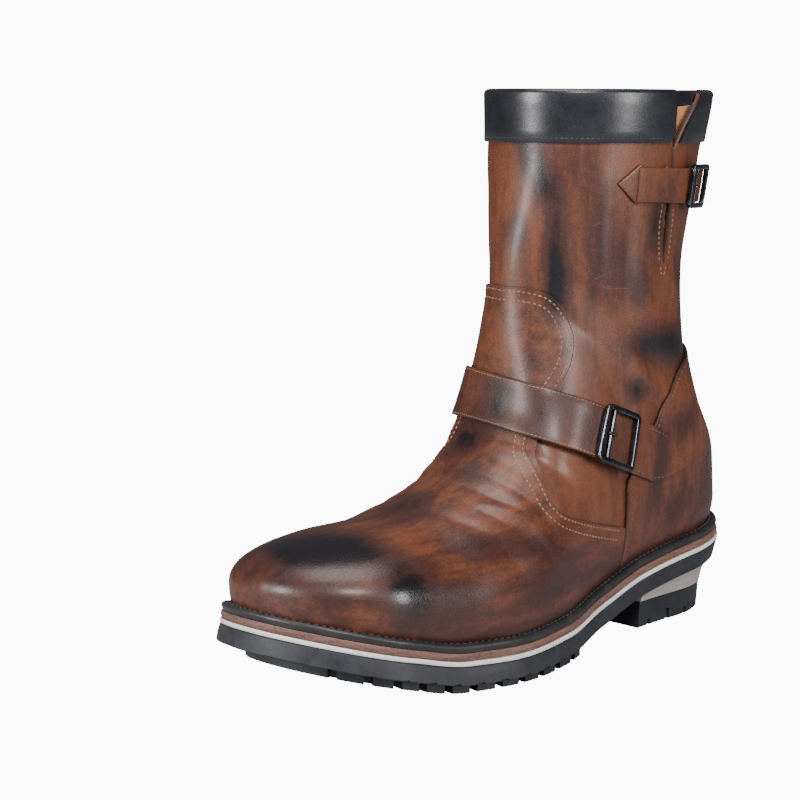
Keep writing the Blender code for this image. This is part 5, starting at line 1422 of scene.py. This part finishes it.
# %% Insole inside the foot
grow = -(WELT_REACH + WALL + 0.0016)
body_of("insole_leather", [outline(grow, grow, below(0.0009)),
                           outline(grow + 0.0004, grow + 0.0004, below(0.0016)),
                           outline(grow + 0.0004, grow + 0.0004, below(LAYERS[0]))])

# %% The rubber sole, its lugs and their notches
TREAD_START, TREAD_END, LUGS = 0.475, 0.965, 11
SHORT = 0.006


def wall_bottom(y):
    return seat(y) - layer_top(3) - LAYERS[3]


def tread_bottom(y):
    return np.maximum(wall_bottom(y) - LUG_DEPTH - 0.0006, 0.0)


def block(name, centre, size, turn, tilt=0.0):
    """A bevelled block turned about Z, as a cutter."""
    obj = cube(name, (0, 0, 0), size)
    apply_modifier(obj, 'BEVEL', width=0.0005, segments=2)
    obj.rotation_euler = (tilt, 0, turn)
    obj.location = Vector(centre) + Vector(SHIFT)
    bpy.ops.object.transform_apply(location=True, rotation=True, scale=False)
    return obj


def notch_blocks():
    blocks = []
    for k in range(LUGS):
        place = TREAD_START + (TREAD_END - TREAD_START) * (k + 0.6) / LUGS
        y = SOLE_LENGTH * (0.5 - place)
        for side in (1, -1):
            reach = float(middle(y) + side * half_width(y, side))
            ahead = float(middle(y - SHORT) + side * half_width(y - SHORT, side))
            turn = math.atan2(reach - ahead, SHORT)
            depth = LUG_DEPTH + 0.0026
            blocks.append(block("notch", (reach - side * 0.004, y,
                                          float(wall_bottom(y)) + 0.001 - depth),
                                (0.0264, 0.0042, 2 * depth), -turn))
    for k in range(1, LUGS - 1):
        place = TREAD_START + (TREAD_END - TREAD_START) * (k + 0.1) / LUGS
        y = SOLE_LENGTH * (0.5 - place)
        span = float(half_width(y, 1) + half_width(y, -1)) - 0.052
        x = float(middle(y) + (half_width(y, 1) - half_width(y, -1)) / 2)
        blocks.append(block("channel", (x, y, float(wall_bottom(y)) - LUG_DEPTH),
                            (span, 0.0050, 2 * LUG_DEPTH), 0.0))
    return merge(blocks)


def make_outsole():
    depth = layer_top(3)
    sole = body_of("outsole_rubber", [
        outline(back, front, below(depth + lower), bend=0.5)
        for back, front, lower in ((-0.0003, -0.0003, 0.0), (-0.0002, 0.0001, 0.0004),
                                   (-0.0016, 0.0010, LAYERS[3] * 0.5),
                                   (-0.0029, 0.0016, LAYERS[3] - 0.0004),
                                   (-0.0032, 0.0012, LAYERS[3]))])
    start = SOLE_LENGTH * (0.5 - TREAD_START)
    toe = -SOLE_LENGTH * (1 - TREAD_END)
    tread = body_of("tread", [
        outline(-0.001, toe, lambda y: wall_bottom(y) + 0.001, start=start, bend=3),
        outline(-0.001, toe, lambda y: tread_bottom(y) + 0.0004, start=start, bend=3),
        outline(-0.0014, toe - 0.0004, tread_bottom, start=start, bend=3)])
    pieces.pop("tread")
    cut(sole, tread, 'UNION')
    cut(sole, notch_blocks())
    return tidy(sole, 35, turn_out=False)


outsole = make_outsole()
print("Outsole:", len(outsole.data.polygons), "faces")

# %% The stacked heel and its lift
BREAST_Y = SOLE_LENGTH * (0.5 - 0.259)
LIFT_THICK = 0.0135
STACK_INSETS = ((0.0038, 0.0066, 0.0080), (0.0012, 0.0032, 0.0041))


def make_heel():
    foot = LIFT_THICK + LAYER_GAP
    layers = []
    for share in np.linspace(0, 1, 9):
        back, side = (float(np.interp(share, (0, 0.5, 1), row)) for row in STACK_INSETS)
        level = (lambda y, s=share: (wall_bottom(y) - LAYER_GAP) * (1 - s) + foot * s)
        layers.append(outline(-back, -side, level, end=BREAST_Y, count=60))
    body_of("heel_stack_leather", layers)
    lift = body_of("heel_lift_rubber", [
        outline(back, side, lambda y, z=height: z, end=BREAST_Y, count=60)
        for back, side, height in ((-0.0086, -0.0047, LIFT_THICK),
                                   (-0.0083, -0.0044, LIFT_THICK - 0.0004),
                                   (-0.0092, -0.0048, 0.0004), (-0.0096, -0.0052, 0.0))])
    notches = []
    for share, tall, wide in ((0.13, 0.70, 0.0022), (0.36, 1.30, 0.0030), (0.58, 0.80, 0.0026),
                              (0.76, 0.80, 0.0026)):
        y = BREAST_Y + share * (SOLE_LENGTH / 2 - 0.0095 - BREAST_Y)
        for side in (1, -1):
            reach = float(side * half_width(y, side, -0.0045))
            back = float(side * half_width(y + SHORT, side, -0.0045))
            notches.append(block("notch", (reach, y, 0), (0.011, wide, 0.009 * tall),
                                 -math.atan2(back - reach, SHORT)))
    cut(lift, merge(notches))
    return tidy(lift, 35, turn_out=False)


make_heel()
print("Heel stacked")

# %% [markdown]
# ## Where the leather is dark
# The boot was burnished by hand: dark cream rubbed over the toe, along seams and in streaks
# down the shaft. These places can't come from noise alone, so they are painted as a soft mask
# on the mesh, from a list of spots with a centre, a reach along each axis and a strength. The
# material then breaks the mask up with fine noise. The leather also darkens just above the
# sole, and stays warmer round the toe's foot.

# %% Paint the burnish mask
SPOTS = (
    # x, y, z in mm in the frame, then the reach along x, y and z, and the strength
    (2, -2, 122, 7, 9, 14, 0.65),
    (24, 4, 116, 6, 8, 10, 0.30),
    (38, 28, 108, 5, 5, 12, 0.45),
    (-4, -126, 70, 34, 13, 9, 0.95),
    (14, -112, 72, 34, 14, 9, 0.95),
    (44, -103, 52, 13, 12, 15, 0.90),
    (-40, -110, 55, 16, 24, 14, 0.75),
    (4, -147, 62, 16, 7, 9, 0.30),
    (30, -136, 48, 12, 9, 12, 0.30),
    (51, -78, 44, 10, 18, 10, 0.45),
    (-14, -8, 102, 12, 10, 9, 0.80),
    (4, -24, 90, 12, 9, 8, 0.45),
    (-10, -58, 79, 20, 18, 8, 0.55),
    (36, -56, 64, 14, 12, 8, 0.45),
    (47, -30, 62, 8, 18, 6, 0.35),
    (34, 14, 120, 8, 9, 12, 0.30),
    (2, 12, 247, 6, 8, 9, 0.95),
    (8, 15, 236, 6, 8, 9, 0.70),
    (13, 19, 224, 5, 7, 9, 0.70),
    (18, 22, 200, 4, 6, 22, 0.75),
    (3, 13, 203, 4, 6, 8, 0.50),
    (19, 22, 176, 4, 7, 14, 0.85),
    (32, 38, 196, 7, 9, 34, 0.42),
    (26, 31, 238, 7, 9, 14, 0.30),
    (37, 60, 176, 8, 9, 12, 0.40),
    (40, 74, 222, 6, 5, 10, 0.50),
    (40, 68, 205, 5, 4, 14, 0.70),
    (38, 70, 146, 9, 18, 8, 0.85),
    (36, 92, 142, 12, 14, 9, 0.80),
    (37, 62, 124, 8, 6, 6, 0.85),
    (30, 104, 172, 14, 16, 24, 0.45),
    (38, 96, 104, 9, 10, 8, 0.45),
    (42, 74, 82, 7, 6, 20, 0.45),
    (44, 92, 60, 10, 14, 10, 0.35),
    (24, 122, 66, 22, 18, 18, 0.50),
    (48, 30, 40, 12, 26, 8, 0.40),
    (54, -20, 42, 10, 26, 9, 0.45),
    (52, -2, 52, 10, 12, 8, 0.30),
    (16, 4, 150, 5, 6, 20, 0.70),
    (-44, 30, 120, 14, 30, 20, 0.55),
    (-46, 40, 200, 14, 18, 34, 0.60),
    (-46, 104, 190, 14, 18, 30, 0.50),
    (-50, -50, 50, 12, 34, 14, 0.60),
    (-40, 20, 60, 12, 26, 16, 0.50),
    (-6, 128, 210, 18, 12, 34, 0.45),
    (-6, 140, 90, 22, 12, 22, 0.50),
    (-30, -80, 62, 18, 18, 12, 0.45),
    (2, 6, 140, 9, 10, 10, -0.20),
    (30, 20, 86, 14, 16, 12, -0.25),
    (24, -84, 72, 16, 14, 8, -0.25),
    (36, 50, 232, 8, 12, 16, -0.25),
    (2, -140, 56, 40, 16, 16, 0.22),
    (20, -90, 66, 26, 18, 14, 0.12),
)


def paint(obj):
    """Float attribute burnish on every point of a piece, from 0 warm to 1 dark."""
    count = len(obj.data.vertices)
    places = np.zeros(count * 3)
    obj.data.vertices.foreach_get("co", places)
    places = places.reshape(-1, 3) * 1000
    mask = np.zeros(count)
    for x, y, z, rx, ry, rz, strength in SPOTS:
        far = ((places - (x, y, z)) / (rx, ry, rz)) ** 2
        mask += strength * np.exp(-far.sum(1))
    ys = places[:, 1] / 1000 - SHIFT[1]
    above = places[:, 2] / 1000 - seat(ys)
    for strength, height, reach, where in ((0.30, 0.0, 0.004, ys > -0.10),
                                           (-0.12, 0.009, 0.005, ys < -0.09)):
        mask += strength * np.exp(-((above - height) / reach) ** 2) * where
    layer = obj.data.attributes.new("burnish", 'FLOAT', 'POINT')
    layer.data.foreach_set("value", np.clip(mask, -0.4, 1.2).astype(np.float32))


LEATHER_PIECES = [name for name in pieces if name.endswith("_leather") and name not in
                  ("gusset_leather", "insole_leather", "midsole_leather", "welt_leather",
                   "heel_stack_leather")]
LEATHER_PIECES += [name for name in pieces if "bead" in name and "slit" not in name]
for name in LEATHER_PIECES:
    paint(pieces[name])
print("Painted", len(LEATHER_PIECES), "pieces")

# %% [markdown]
# ## Finishes
# Effects that several finishes share are node groups: the leather's grain, the burnish that
# turns a mask into colour, fine scratches, and layers for cut edges. Each group only puts out
# colours and values; every finish keeps its own Principled shader.

# %% Node helpers
def group_of(name, inputs, outputs):
    """Empty shader group with its sockets; returns it with its two end nodes."""
    tree = bpy.data.node_groups.new(name, 'ShaderNodeTree')
    for title, kind, value in inputs:
        socket = tree.interface.new_socket(title, in_out='INPUT', socket_type=kind)
        if value is not None:
            socket.default_value = value
    for title, kind in outputs:
        tree.interface.new_socket(title, in_out='OUTPUT', socket_type=kind)
    return tree, tree.nodes.new('NodeGroupInput'), tree.nodes.new('NodeGroupOutput')


def feed(tree, made, links):
    """Inputs of a node, by name or as _number; a link is a socket, anything else a value."""
    for key, value in links.items():
        socket = made.inputs[int(key[1:]) if key[1:].isdigit() else key.replace("_", " ")]
        if isinstance(value, bpy.types.NodeSocket):
            tree.links.new(value, socket)
        else:
            socket.default_value = value


def node(tree, kind, settings=None, **links):
    """Node with its settings and inputs."""
    made = tree.nodes.new(kind)
    for key, value in (settings or {}).items():
        setattr(made, key, value)
    feed(tree, made, links)
    return made


def noise(tree, vector, scale, detail=4.0, rough=0.55, distortion=0.0):
    return node(tree, 'ShaderNodeTexNoise', None, Vector=vector, Scale=scale, Detail=detail,
                Roughness=rough, Distortion=distortion).outputs["Fac"]


def spread(tree, value, low, high, to_low=0.0, to_high=1.0):
    return node(tree, 'ShaderNodeMapRange', {"interpolation_type": 'SMOOTHSTEP'}, Value=value,
                From_Min=low, From_Max=high, To_Min=to_low, To_Max=to_high).outputs["Result"]


def sums(tree, operation, first, second):
    return node(tree, 'ShaderNodeMath', {"operation": operation}, _0=first, _1=second).outputs[0]


def times(tree, first, second):
    return sums(tree, 'MULTIPLY', first, second)


def plus(tree, first, second):
    return sums(tree, 'ADD', first, second)


def blend(tree, share, first, second):
    """Mix of two colours."""
    return node(tree, 'ShaderNodeMix', {"data_type": 'RGBA'}, _0=share, _6=first,
                _7=second).outputs[2]


def stretched(tree, vector, scale, turn=(0, 0, 0)):
    return node(tree, 'ShaderNodeMapping', None, Vector=vector, Scale=scale,
                Rotation=turn).outputs["Vector"]


# %% The shared groups
def grain_group():
    """Pebbled leather grain with pores: a height, and a shade that sits in its dips."""
    tree, start, end = group_of("leather_grain", (("Vector", 'NodeSocketVector', None),
                                                  ("Scale", 'NodeSocketFloat', 900.0)),
                                (("Height", 'NodeSocketFloat'), ("Shade", 'NodeSocketFloat')))
    vector, scale = start.outputs["Vector"], start.outputs["Scale"]
    cells = node(tree, 'ShaderNodeTexVoronoi', {"feature": 'SMOOTH_F1'}, Vector=vector,
                 Scale=scale, Smoothness=0.6).outputs["Distance"]
    fine = noise(tree, vector, times(tree, scale, 1.8), 3.0)
    broad = noise(tree, vector, times(tree, scale, 0.12), 3.0)
    height = plus(tree, times(tree, cells, 0.55), times(tree, fine, 0.5))
    height = plus(tree, height, times(tree, broad, 0.7))
    tree.links.new(height, end.inputs["Height"])
    tree.links.new(spread(tree, fine, 0.30, 0.62), end.inputs["Shade"])
    return tree


def burnish_group():
    """Warm leather rubbed dark: breaks the painted mask up and turns it into colour."""
    tree, start, end = group_of(
        "burnish", (("Vector", 'NodeSocketVector', None), ("Mask", 'NodeSocketFloat', 0.0),
                    ("Streak", 'NodeSocketVector', (1.0, 1.0, 0.20)),
                    ("Warm", 'NodeSocketColor', (0.30, 0.098, 0.035, 1)),
                    ("Brown", 'NodeSocketColor', (0.105, 0.034, 0.018, 1)),
                    ("Dark", 'NodeSocketColor', (0.016, 0.011, 0.012, 1))),
        (("Color", 'NodeSocketColor'), ("Darkness", 'NodeSocketFloat')))
    vector = start.outputs["Vector"]
    clouds = noise(tree, vector, 17.0, 4.0, 0.55, 0.3)
    streaks = noise(tree, stretched(tree, vector, start.outputs["Streak"]), 130.0, 6.0, 0.65, 0.15)
    mottle = noise(tree, vector, 300.0, 5.0, 0.7)
    mask = start.outputs["Mask"]
    for texture, weight in ((clouds, 0.50), (streaks, 1.00), (mottle, 0.45)):
        mask = plus(tree, mask, times(tree, sums(tree, 'SUBTRACT', texture, 0.5), weight))
    colour = blend(tree, spread(tree, mask, -0.22, 0.40), start.outputs["Warm"],
                   start.outputs["Brown"])
    darkness = spread(tree, mask, 0.32, 0.95)
    colour = blend(tree, darkness, colour, start.outputs["Dark"])
    tree.links.new(colour, end.inputs["Color"])
    tree.links.new(darkness, end.inputs["Darkness"])
    return tree


def scratch_group():
    """Thin pale scratches: the zero lines of a stretched noise, kept only in a few places."""
    tree, start, end = group_of("scratches", (("Vector", 'NodeSocketVector', None),
                                              ("Amount", 'NodeSocketFloat', 1.0)),
                                (("Mask", 'NodeSocketFloat'),))
    vector = start.outputs["Vector"]
    lines = noise(tree, stretched(tree, vector, (1.0, 0.25, 1.3), (0.9, 0.4, 0.2)), 60.0, 0.0)
    thin = spread(tree, sums(tree, 'ABSOLUTE', sums(tree, 'SUBTRACT', lines, 0.5), 0.0),
                  0.0, 0.0060, 1.0, 0.0)
    where = spread(tree, noise(tree, vector, 38.0, 2.0), 0.62, 0.68)
    mask = times(tree, times(tree, thin, where), start.outputs["Amount"])
    tree.links.new(mask, end.inputs["Mask"])
    return tree


def layers_group():
    """Fine horizontal layers of pressed leather, broken up by noise."""
    tree, start, end = group_of("cut_layers", (("Vector", 'NodeSocketVector', None),
                                               ("Scale", 'NodeSocketFloat', 400.0)),
                                (("Mask", 'NodeSocketFloat'),))
    flat = stretched(tree, start.outputs["Vector"], (0.06, 0.06, 1.0))
    bands = noise(tree, flat, start.outputs["Scale"], 5.0, 0.7)
    tree.links.new(spread(tree, bands, 0.3, 0.7), end.inputs["Mask"])
    return tree


GRAIN, BURNISH, SCRATCH, CUT = grain_group(), burnish_group(), scratch_group(), layers_group()
print("Groups:", [tree.name for tree in (GRAIN, BURNISH, SCRATCH, CUT)])


# %% [markdown]
# ## The materials
# Each finish starts from Object coordinates, so that its grain keeps its size on every piece.
# Grain goes to a Bump node, wear to the roughness, and gloss to the coat.

# %% Material helpers
def finish_of(name):
    """New material: returns it with its tree, shader and Object coordinates."""
    made = bpy.data.materials.new(name)
    made.use_nodes = True
    tree = made.node_tree
    shader = tree.nodes["Principled BSDF"]
    place = tree.nodes.new('ShaderNodeTexCoord').outputs["Object"]
    return made, tree, shader, place


def use(tree, group, **links):
    return node(tree, 'ShaderNodeGroup', {"node_tree": group}, **links).outputs


def connect(tree, shader, colour, rough, relief, **others):
    """Colour, roughness, relief (height, strength, distance) and other inputs of a shader."""
    height, strength, distance = relief
    made = node(tree, 'ShaderNodeBump', None, Height=height, Strength=strength, Distance=distance)
    feed(tree, shader, {"Base Color": colour, "Roughness": rough,
                        "Normal": made.outputs["Normal"], **others})


# %% Burnished leather
def burnished(name, warm, brown, dark, gloss, extra=0.0, streak=(1.0, 1.0, 0.20)):
    made, tree, shader, place = finish_of(name)
    painted = node(tree, 'ShaderNodeAttribute', {"attribute_name": "burnish"}).outputs["Fac"]
    if extra:
        painted = plus(tree, painted, extra)
    rubbed = use(tree, BURNISH, Vector=place, Mask=painted, Streak=streak,
                 Warm=warm, Brown=brown, Dark=dark)
    grain = use(tree, GRAIN, Vector=place, Scale=950.0)
    marks = use(tree, SCRATCH, Vector=place, Amount=0.22)["Mask"]
    colour = blend(tree, times(tree, sums(tree, 'SUBTRACT', 1.0, grain["Shade"]), 0.30),
                   rubbed["Color"], dark)
    colour = blend(tree, marks, colour, (0.42, 0.22, 0.13, 1))
    rough = spread(tree, rubbed["Darkness"], 0.0, 1.0, gloss + 0.10, gloss - 0.04)
    rough = plus(tree, rough, times(tree, grain["Shade"], 0.10))
    connect(tree, shader, colour, rough, (grain["Height"], 0.35, 0.00025),
            Specular_IOR_Level=0.40, Coat_Weight=0.14, Coat_Roughness=0.22)
    return made


WARM, BROWN, DARK = (0.160, 0.046, 0.018, 1), (0.046, 0.013, 0.008, 1), (0.006, 0.004, 0.006, 1)
shaft_finish = burnished("burnished_shaft", WARM, BROWN, DARK, 0.33)
vamp_finish = burnished("burnished_vamp", WARM, BROWN, DARK, 0.27, 0.07, (1.0, 0.20, 1.0))
strap_finish = burnished("burnished_strap", (0.125, 0.038, 0.014, 1), BROWN, DARK, 0.30, 0.12)
# The rolled edges and seam beads take a darker finish: partly the edges' own darker colour, and
# partly painted shade along the vamp's edge, the seams, the slit and the zip.
edge_and_shade_finish = burnished("burnished_edge_with_painted_shade", (0.10, 0.034, 0.014, 1), (0.035, 0.013, 0.008, 1), DARK,
                        0.50, 0.2)
print("Burnished leather ready")


# %% Black leather, tan leather, threads, rubber, stack and metal
def plain_leather(name, low, high, rough, scale, strength, coat=0.0, scuff=None):
    made, tree, shader, place = finish_of(name)
    grain = use(tree, GRAIN, Vector=place, Scale=scale)
    clouds = spread(tree, noise(tree, place, 60.0, 5.0, 0.65), 0.35, 0.65)
    colour = blend(tree, clouds, low, high)
    roughness = spread(tree, grain["Shade"], 0.0, 1.0, rough + 0.06, rough - 0.06)
    if scuff:
        spots = spread(tree, noise(tree, place, 34.0, 6.0, 0.75), 0.56, 0.74)
        fine = spread(tree, noise(tree, place, 900.0, 3.0, 0.7), 0.42, 0.62)
        worn = times(tree, times(tree, spots, fine), 0.30)
        colour = blend(tree, worn, colour, scuff)
        roughness = plus(tree, roughness, times(tree, worn, 0.25))
    shine = {"Coat_Weight": coat, "Coat_Roughness": 0.25} if coat else {}
    connect(tree, shader, colour, roughness, (grain["Height"], strength, 0.0002), **shine)
    return made


collar_finish = plain_leather("smooth_black_collar", (0.006, 0.006, 0.009, 1),
                              (0.013, 0.013, 0.018, 1), 0.36, 1100.0, 0.20, 0.15,
                              (0.30, 0.30, 0.34, 1))
tan_finish = plain_leather("tan_flesh_side", (0.36, 0.16, 0.07, 1), (0.50, 0.25, 0.12, 1), 0.78,
                           1500.0, 0.6)
insole_finish = plain_leather("insole_tan", (0.30, 0.15, 0.075, 1), (0.40, 0.21, 0.11, 1), 0.6,
                              900.0, 0.4)
welt_finish = plain_leather("inked_welt", (0.008, 0.007, 0.008, 1), (0.022, 0.018, 0.018, 1), 0.50,
                            700.0, 0.7, 0.1, (0.12, 0.10, 0.10, 1))
tape_finish = plain_leather("zip_cloth", (0.008, 0.008, 0.009, 1), (0.014, 0.014, 0.015, 1), 0.85,
                            1600.0, 0.9)


def layered(name, low, high, rough, scale, strength):
    made, tree, shader, place = finish_of(name)
    bands = use(tree, CUT, Vector=place, Scale=scale)["Mask"]
    speckle = spread(tree, noise(tree, place, 700.0, 4.0, 0.7), 0.3, 0.7)
    share = plus(tree, times(tree, bands, 0.6), times(tree, speckle, 0.4))
    connect(tree, shader, blend(tree, share, low, high),
            spread(tree, share, 0.0, 1.0, rough + 0.1, rough - 0.1), (share, strength, 0.0003))
    return made


midsole_finish = layered("brown_cut_edge", (0.07, 0.032, 0.024, 1), (0.21, 0.105, 0.075, 1), 0.65,
                         520.0, 0.5)
rand_finish = layered("white_strip", (0.52, 0.48, 0.46, 1), (0.80, 0.78, 0.76, 1), 0.6, 300.0, 0.2)
stack_finish = layered("grey_stack", (0.26, 0.225, 0.205, 1), (0.50, 0.46, 0.43, 1), 0.75, 330.0,
                       0.6)


def rubber(name, low, high, rough):
    made, tree, shader, place = finish_of(name)
    clouds = spread(tree, noise(tree, place, 90.0, 6.0, 0.7), 0.35, 0.7)
    fine = noise(tree, place, 1400.0, 3.0, 0.7)
    dust = spread(tree, noise(tree, place, 500.0, 5.0, 0.8), 0.60, 0.75)
    colour = blend(tree, clouds, low, high)
    colour = blend(tree, times(tree, dust, 0.12), colour, (0.25, 0.25, 0.26, 1))
    connect(tree, shader, colour, spread(tree, clouds, 0.0, 1.0, rough, rough + 0.12),
            (fine, 0.25, 0.0002))
    return made


rubber_finish = rubber("charcoal_rubber", (0.010, 0.010, 0.014, 1), (0.021, 0.021, 0.027, 1), 0.50)


def metal(name, low, high, rough):
    made, tree, shader, place = finish_of(name)
    clouds = spread(tree, noise(tree, place, 180.0, 4.0, 0.6), 0.35, 0.65)
    fine = spread(tree, noise(tree, place, 2500.0, 2.0, 0.6), 0.3, 0.7)
    connect(tree, shader, blend(tree, clouds, low, high),
            spread(tree, fine, 0.0, 1.0, rough, rough + 0.10), (fine, 0.05, 0.0001), Metallic=1.0)
    return made


gunmetal_finish = metal("polished_gunmetal", (0.060, 0.060, 0.070, 1), (0.13, 0.13, 0.145, 1),
                        0.16)
steel_finish = metal("bright_nickel", (0.52, 0.52, 0.54, 1), (0.66, 0.66, 0.68, 1), 0.22)
dark_steel_finish = metal("dark_zip_teeth", (0.05, 0.05, 0.055, 1), (0.10, 0.10, 0.11, 1), 0.35)


def thread(name, low, high):
    made, tree, shader, place = finish_of(name)
    twist = spread(tree, noise(tree, place, 1500.0, 2.0, 0.6), 0.35, 0.65)
    fade = spread(tree, noise(tree, place, 60.0, 3.0, 0.6), 0.35, 0.65)
    colour = blend(tree, times(tree, plus(tree, twist, fade), 0.5), low, high)
    connect(tree, shader, colour, 0.7, (twist, 0.5, 0.0001))
    return made


brown_thread = thread("brown_thread", (0.045, 0.022, 0.016, 1), (0.16, 0.085, 0.05, 1))
tan_thread = thread("tan_thread", (0.12, 0.055, 0.03, 1), (0.34, 0.19, 0.11, 1))
dark_thread = thread("dark_thread", (0.010, 0.010, 0.014, 1), (0.05, 0.05, 0.06, 1))
print(len(bpy.data.materials), "materials")

# %% [markdown]
# ## Putting the dress on the frame
# Every piece now gets its finish, rides on a body of the frame, and hides the CAD solid it
# stands for.

# %% Finish, body and solid of every piece
PLAN = {
    # piece: (finish, slot, CAD nodes it stands for)
    "shaft_leather": (shaft_finish, "burnished_leather", ["upper"]),
    "vamp_leather": (vamp_finish, "burnished_leather", ["vamp"]),
    "counter_leather": (shaft_finish, "burnished_leather", ["counter"]),
    "instep_strap_leather": (strap_finish, "burnished_leather", ["instep_strap"]),
    "instep_anchor_leather": (shaft_finish, "burnished_leather", ["strap_anchor"]),
    "top_strap_leather": (shaft_finish, "burnished_leather", ["top_strap"]),
    "top_arrow_leather": (strap_finish, "burnished_leather", []),
    "top_anchor_leather": (shaft_finish, "burnished_leather", ["top_strap_anchor"]),
    "collar_front": (collar_finish, "black_leather", ["collar_band_front"]),
    "collar_rear": (collar_finish, "black_leather", ["collar_band_rear"]),
    "gusset_leather": (tan_finish, "tan_leather", ["gusset"]),
    "insole_leather": (insole_finish, "tan_leather", ["insole"]),
    "midsole_leather": (midsole_finish, "leather_edge", ["midsole"]),
    "rand_strip": (rand_finish, "white_rand", ["rand"]),
    "welt_leather": (welt_finish, "black_welt", ["welt"]),
    "welt_stitches": (dark_thread, "black_welt", []),
    "outsole_rubber": (rubber_finish, "black_rubber", ["outsole"]),
    "heel_lift_rubber": (rubber_finish, "black_rubber", ["heel_lift"]),
    "heel_stack_leather": (stack_finish, "grey_stack", ["heel_stack"]),
    "instep_buckle_frame": (gunmetal_finish, "gunmetal", ["instep_buckle"]),
    "instep_buckle_pin": (gunmetal_finish, "gunmetal", ["instep_prong"]),
    "top_buckle_frame": (gunmetal_finish, "gunmetal", ["top_buckle"]),
    "top_buckle_pin": (gunmetal_finish, "gunmetal", ["top_prong"]),
    "zip_tape_cloth": (tape_finish, "black_tape", ["zip_tape"]),
    "zip_teeth_row": (dark_steel_finish, "zip_steel", ["zip_teeth"]),
    "zip_slider_metal": (steel_finish, "zip_steel", ["zip_slider"]),
    "pull_tab_metal": (steel_finish, "zip_steel", ["zip_pull_tab"]),
}
HEAVY = 60000
triangles = 0
for name, obj in pieces.items():
    if name in PLAN:
        finish, slot_name, nodes = PLAN[name]
    # Beads and zip edges get the darker edge finish, which also paints shade along the seams and
    # openings.
    elif "bead" in name or "zip_edge" in name:
        finish, slot_name, nodes = edge_and_shade_finish, "burnished_leather", []
    elif "collar" in name:
        finish, slot_name, nodes = dark_thread, "black_leather", []
    elif "slit" in name or "vamp_stitches" in name or "strap_edge" in name:
        finish, slot_name, nodes = tan_thread, "tan_leather", []
    else:
        finish, slot_name, nodes = brown_thread, "burnished_leather", []
    obj.data.materials.clear()
    obj.data.materials.append(finish)
    for face in obj.data.polygons:
        face.material_index = 0
    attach(obj, "pull_tab" if name == "pull_tab_metal" else "boot")
    if nodes:
        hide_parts(*nodes)
    obj.data.calc_loop_triangles()
    triangles += len(obj.data.loop_triangles)
    if len(obj.data.loop_triangles) > HEAVY:
        print(name, len(obj.data.loop_triangles), "triangles")
print(len(pieces), "pieces,", triangles, "triangles in all")

# %% [markdown]
# ## Floor, light and camera
# The boot stands on a plain pale floor under four soft boxes: one in front, one beside the
# camera, one on the right and one overhead. The floor shines for the camera alone, so it looks
# white without lighting the boot. The camera stands at the photograph's angle, with a long lens.

# %% Stage and light
PALE_LIGHT = (0.95, 0.97, 1.0, 1)
FLOOR_GLOW, WORLD_GLOW = 11.0, 0.14
SOFT_BOXES = (
    # name, place, the point it faces, its size and its power in watts
    ("front_box", (-0.32, -1.25, 0.42), (0, -0.05, 0.10), (0.30, 0.50), 17),
    ("key_box", (0.80, -0.75, 0.98), (0, 0, 0.12), (0.35, 0.30), 15),
    ("right_box", (1.30, 0.10, 0.42), (0, 0, 0.14), (0.30, 0.60), 13),
    ("top_box", (-0.1, -0.1, 1.5), (0, 0, 0.1), (0.8, 0.8), 16),
)
bpy.ops.object.select_all(action='DESELECT')
bpy.ops.mesh.primitive_plane_add(size=60, location=(0, 0, 0))
floor = bpy.context.object
floor.name = "studio_floor"
floor_finish, tree, shader, place = finish_of("pale_floor")
seen = tree.nodes.new('ShaderNodeLightPath').outputs["Is Camera Ray"]
greys = blend(tree, noise(tree, place, 3.0, 2.0), (0.34, 0.34, 0.36, 1), (0.38, 0.38, 0.40, 1))
feed(tree, shader, {"Base Color": greys, "Roughness": 0.6, "Emission Color": PALE_LIGHT,
                    "Emission Strength": times(tree, seen, FLOOR_GLOW)})
floor.data.materials.append(floor_finish)

world = bpy.data.worlds.new("studio")
bpy.context.scene.world = world
world.use_nodes = True
feed(world.node_tree, world.node_tree.nodes["Background"],
     {"Color": PALE_LIGHT, "Strength": WORLD_GLOW})

for name, spot, aim, size, power in SOFT_BOXES:
    light = bpy.data.lights.new(name, 'AREA')
    light.shape = 'RECTANGLE'
    light.size, light.size_y = size
    light.energy = power
    obj = bpy.data.objects.new(name, light)
    bpy.context.collection.objects.link(obj)
    obj.location = spot
    obj.rotation_euler = (Vector(aim) - Vector(spot)).to_track_quat('-Z', 'Y').to_euler()

# %% Camera
LENS_MM, SENSOR_MM = 122.87, 36.0
CAMERA_PLACE = (0.8899, -0.9449, 0.3516)
CAMERA_TILT, CAMERA_TURN = 79.962, 45.338
camera_data = bpy.data.cameras.new("camera")
camera_data.lens = LENS_MM
camera_data.sensor_width = SENSOR_MM
camera = bpy.data.objects.new("camera", camera_data)
bpy.context.collection.objects.link(camera)
camera.location = CAMERA_PLACE
camera.rotation_euler = (math.radians(CAMERA_TILT), 0, math.radians(CAMERA_TURN))
bpy.context.scene.camera = camera
print("Camera set", tuple(round(v, 3) for v in camera.location))
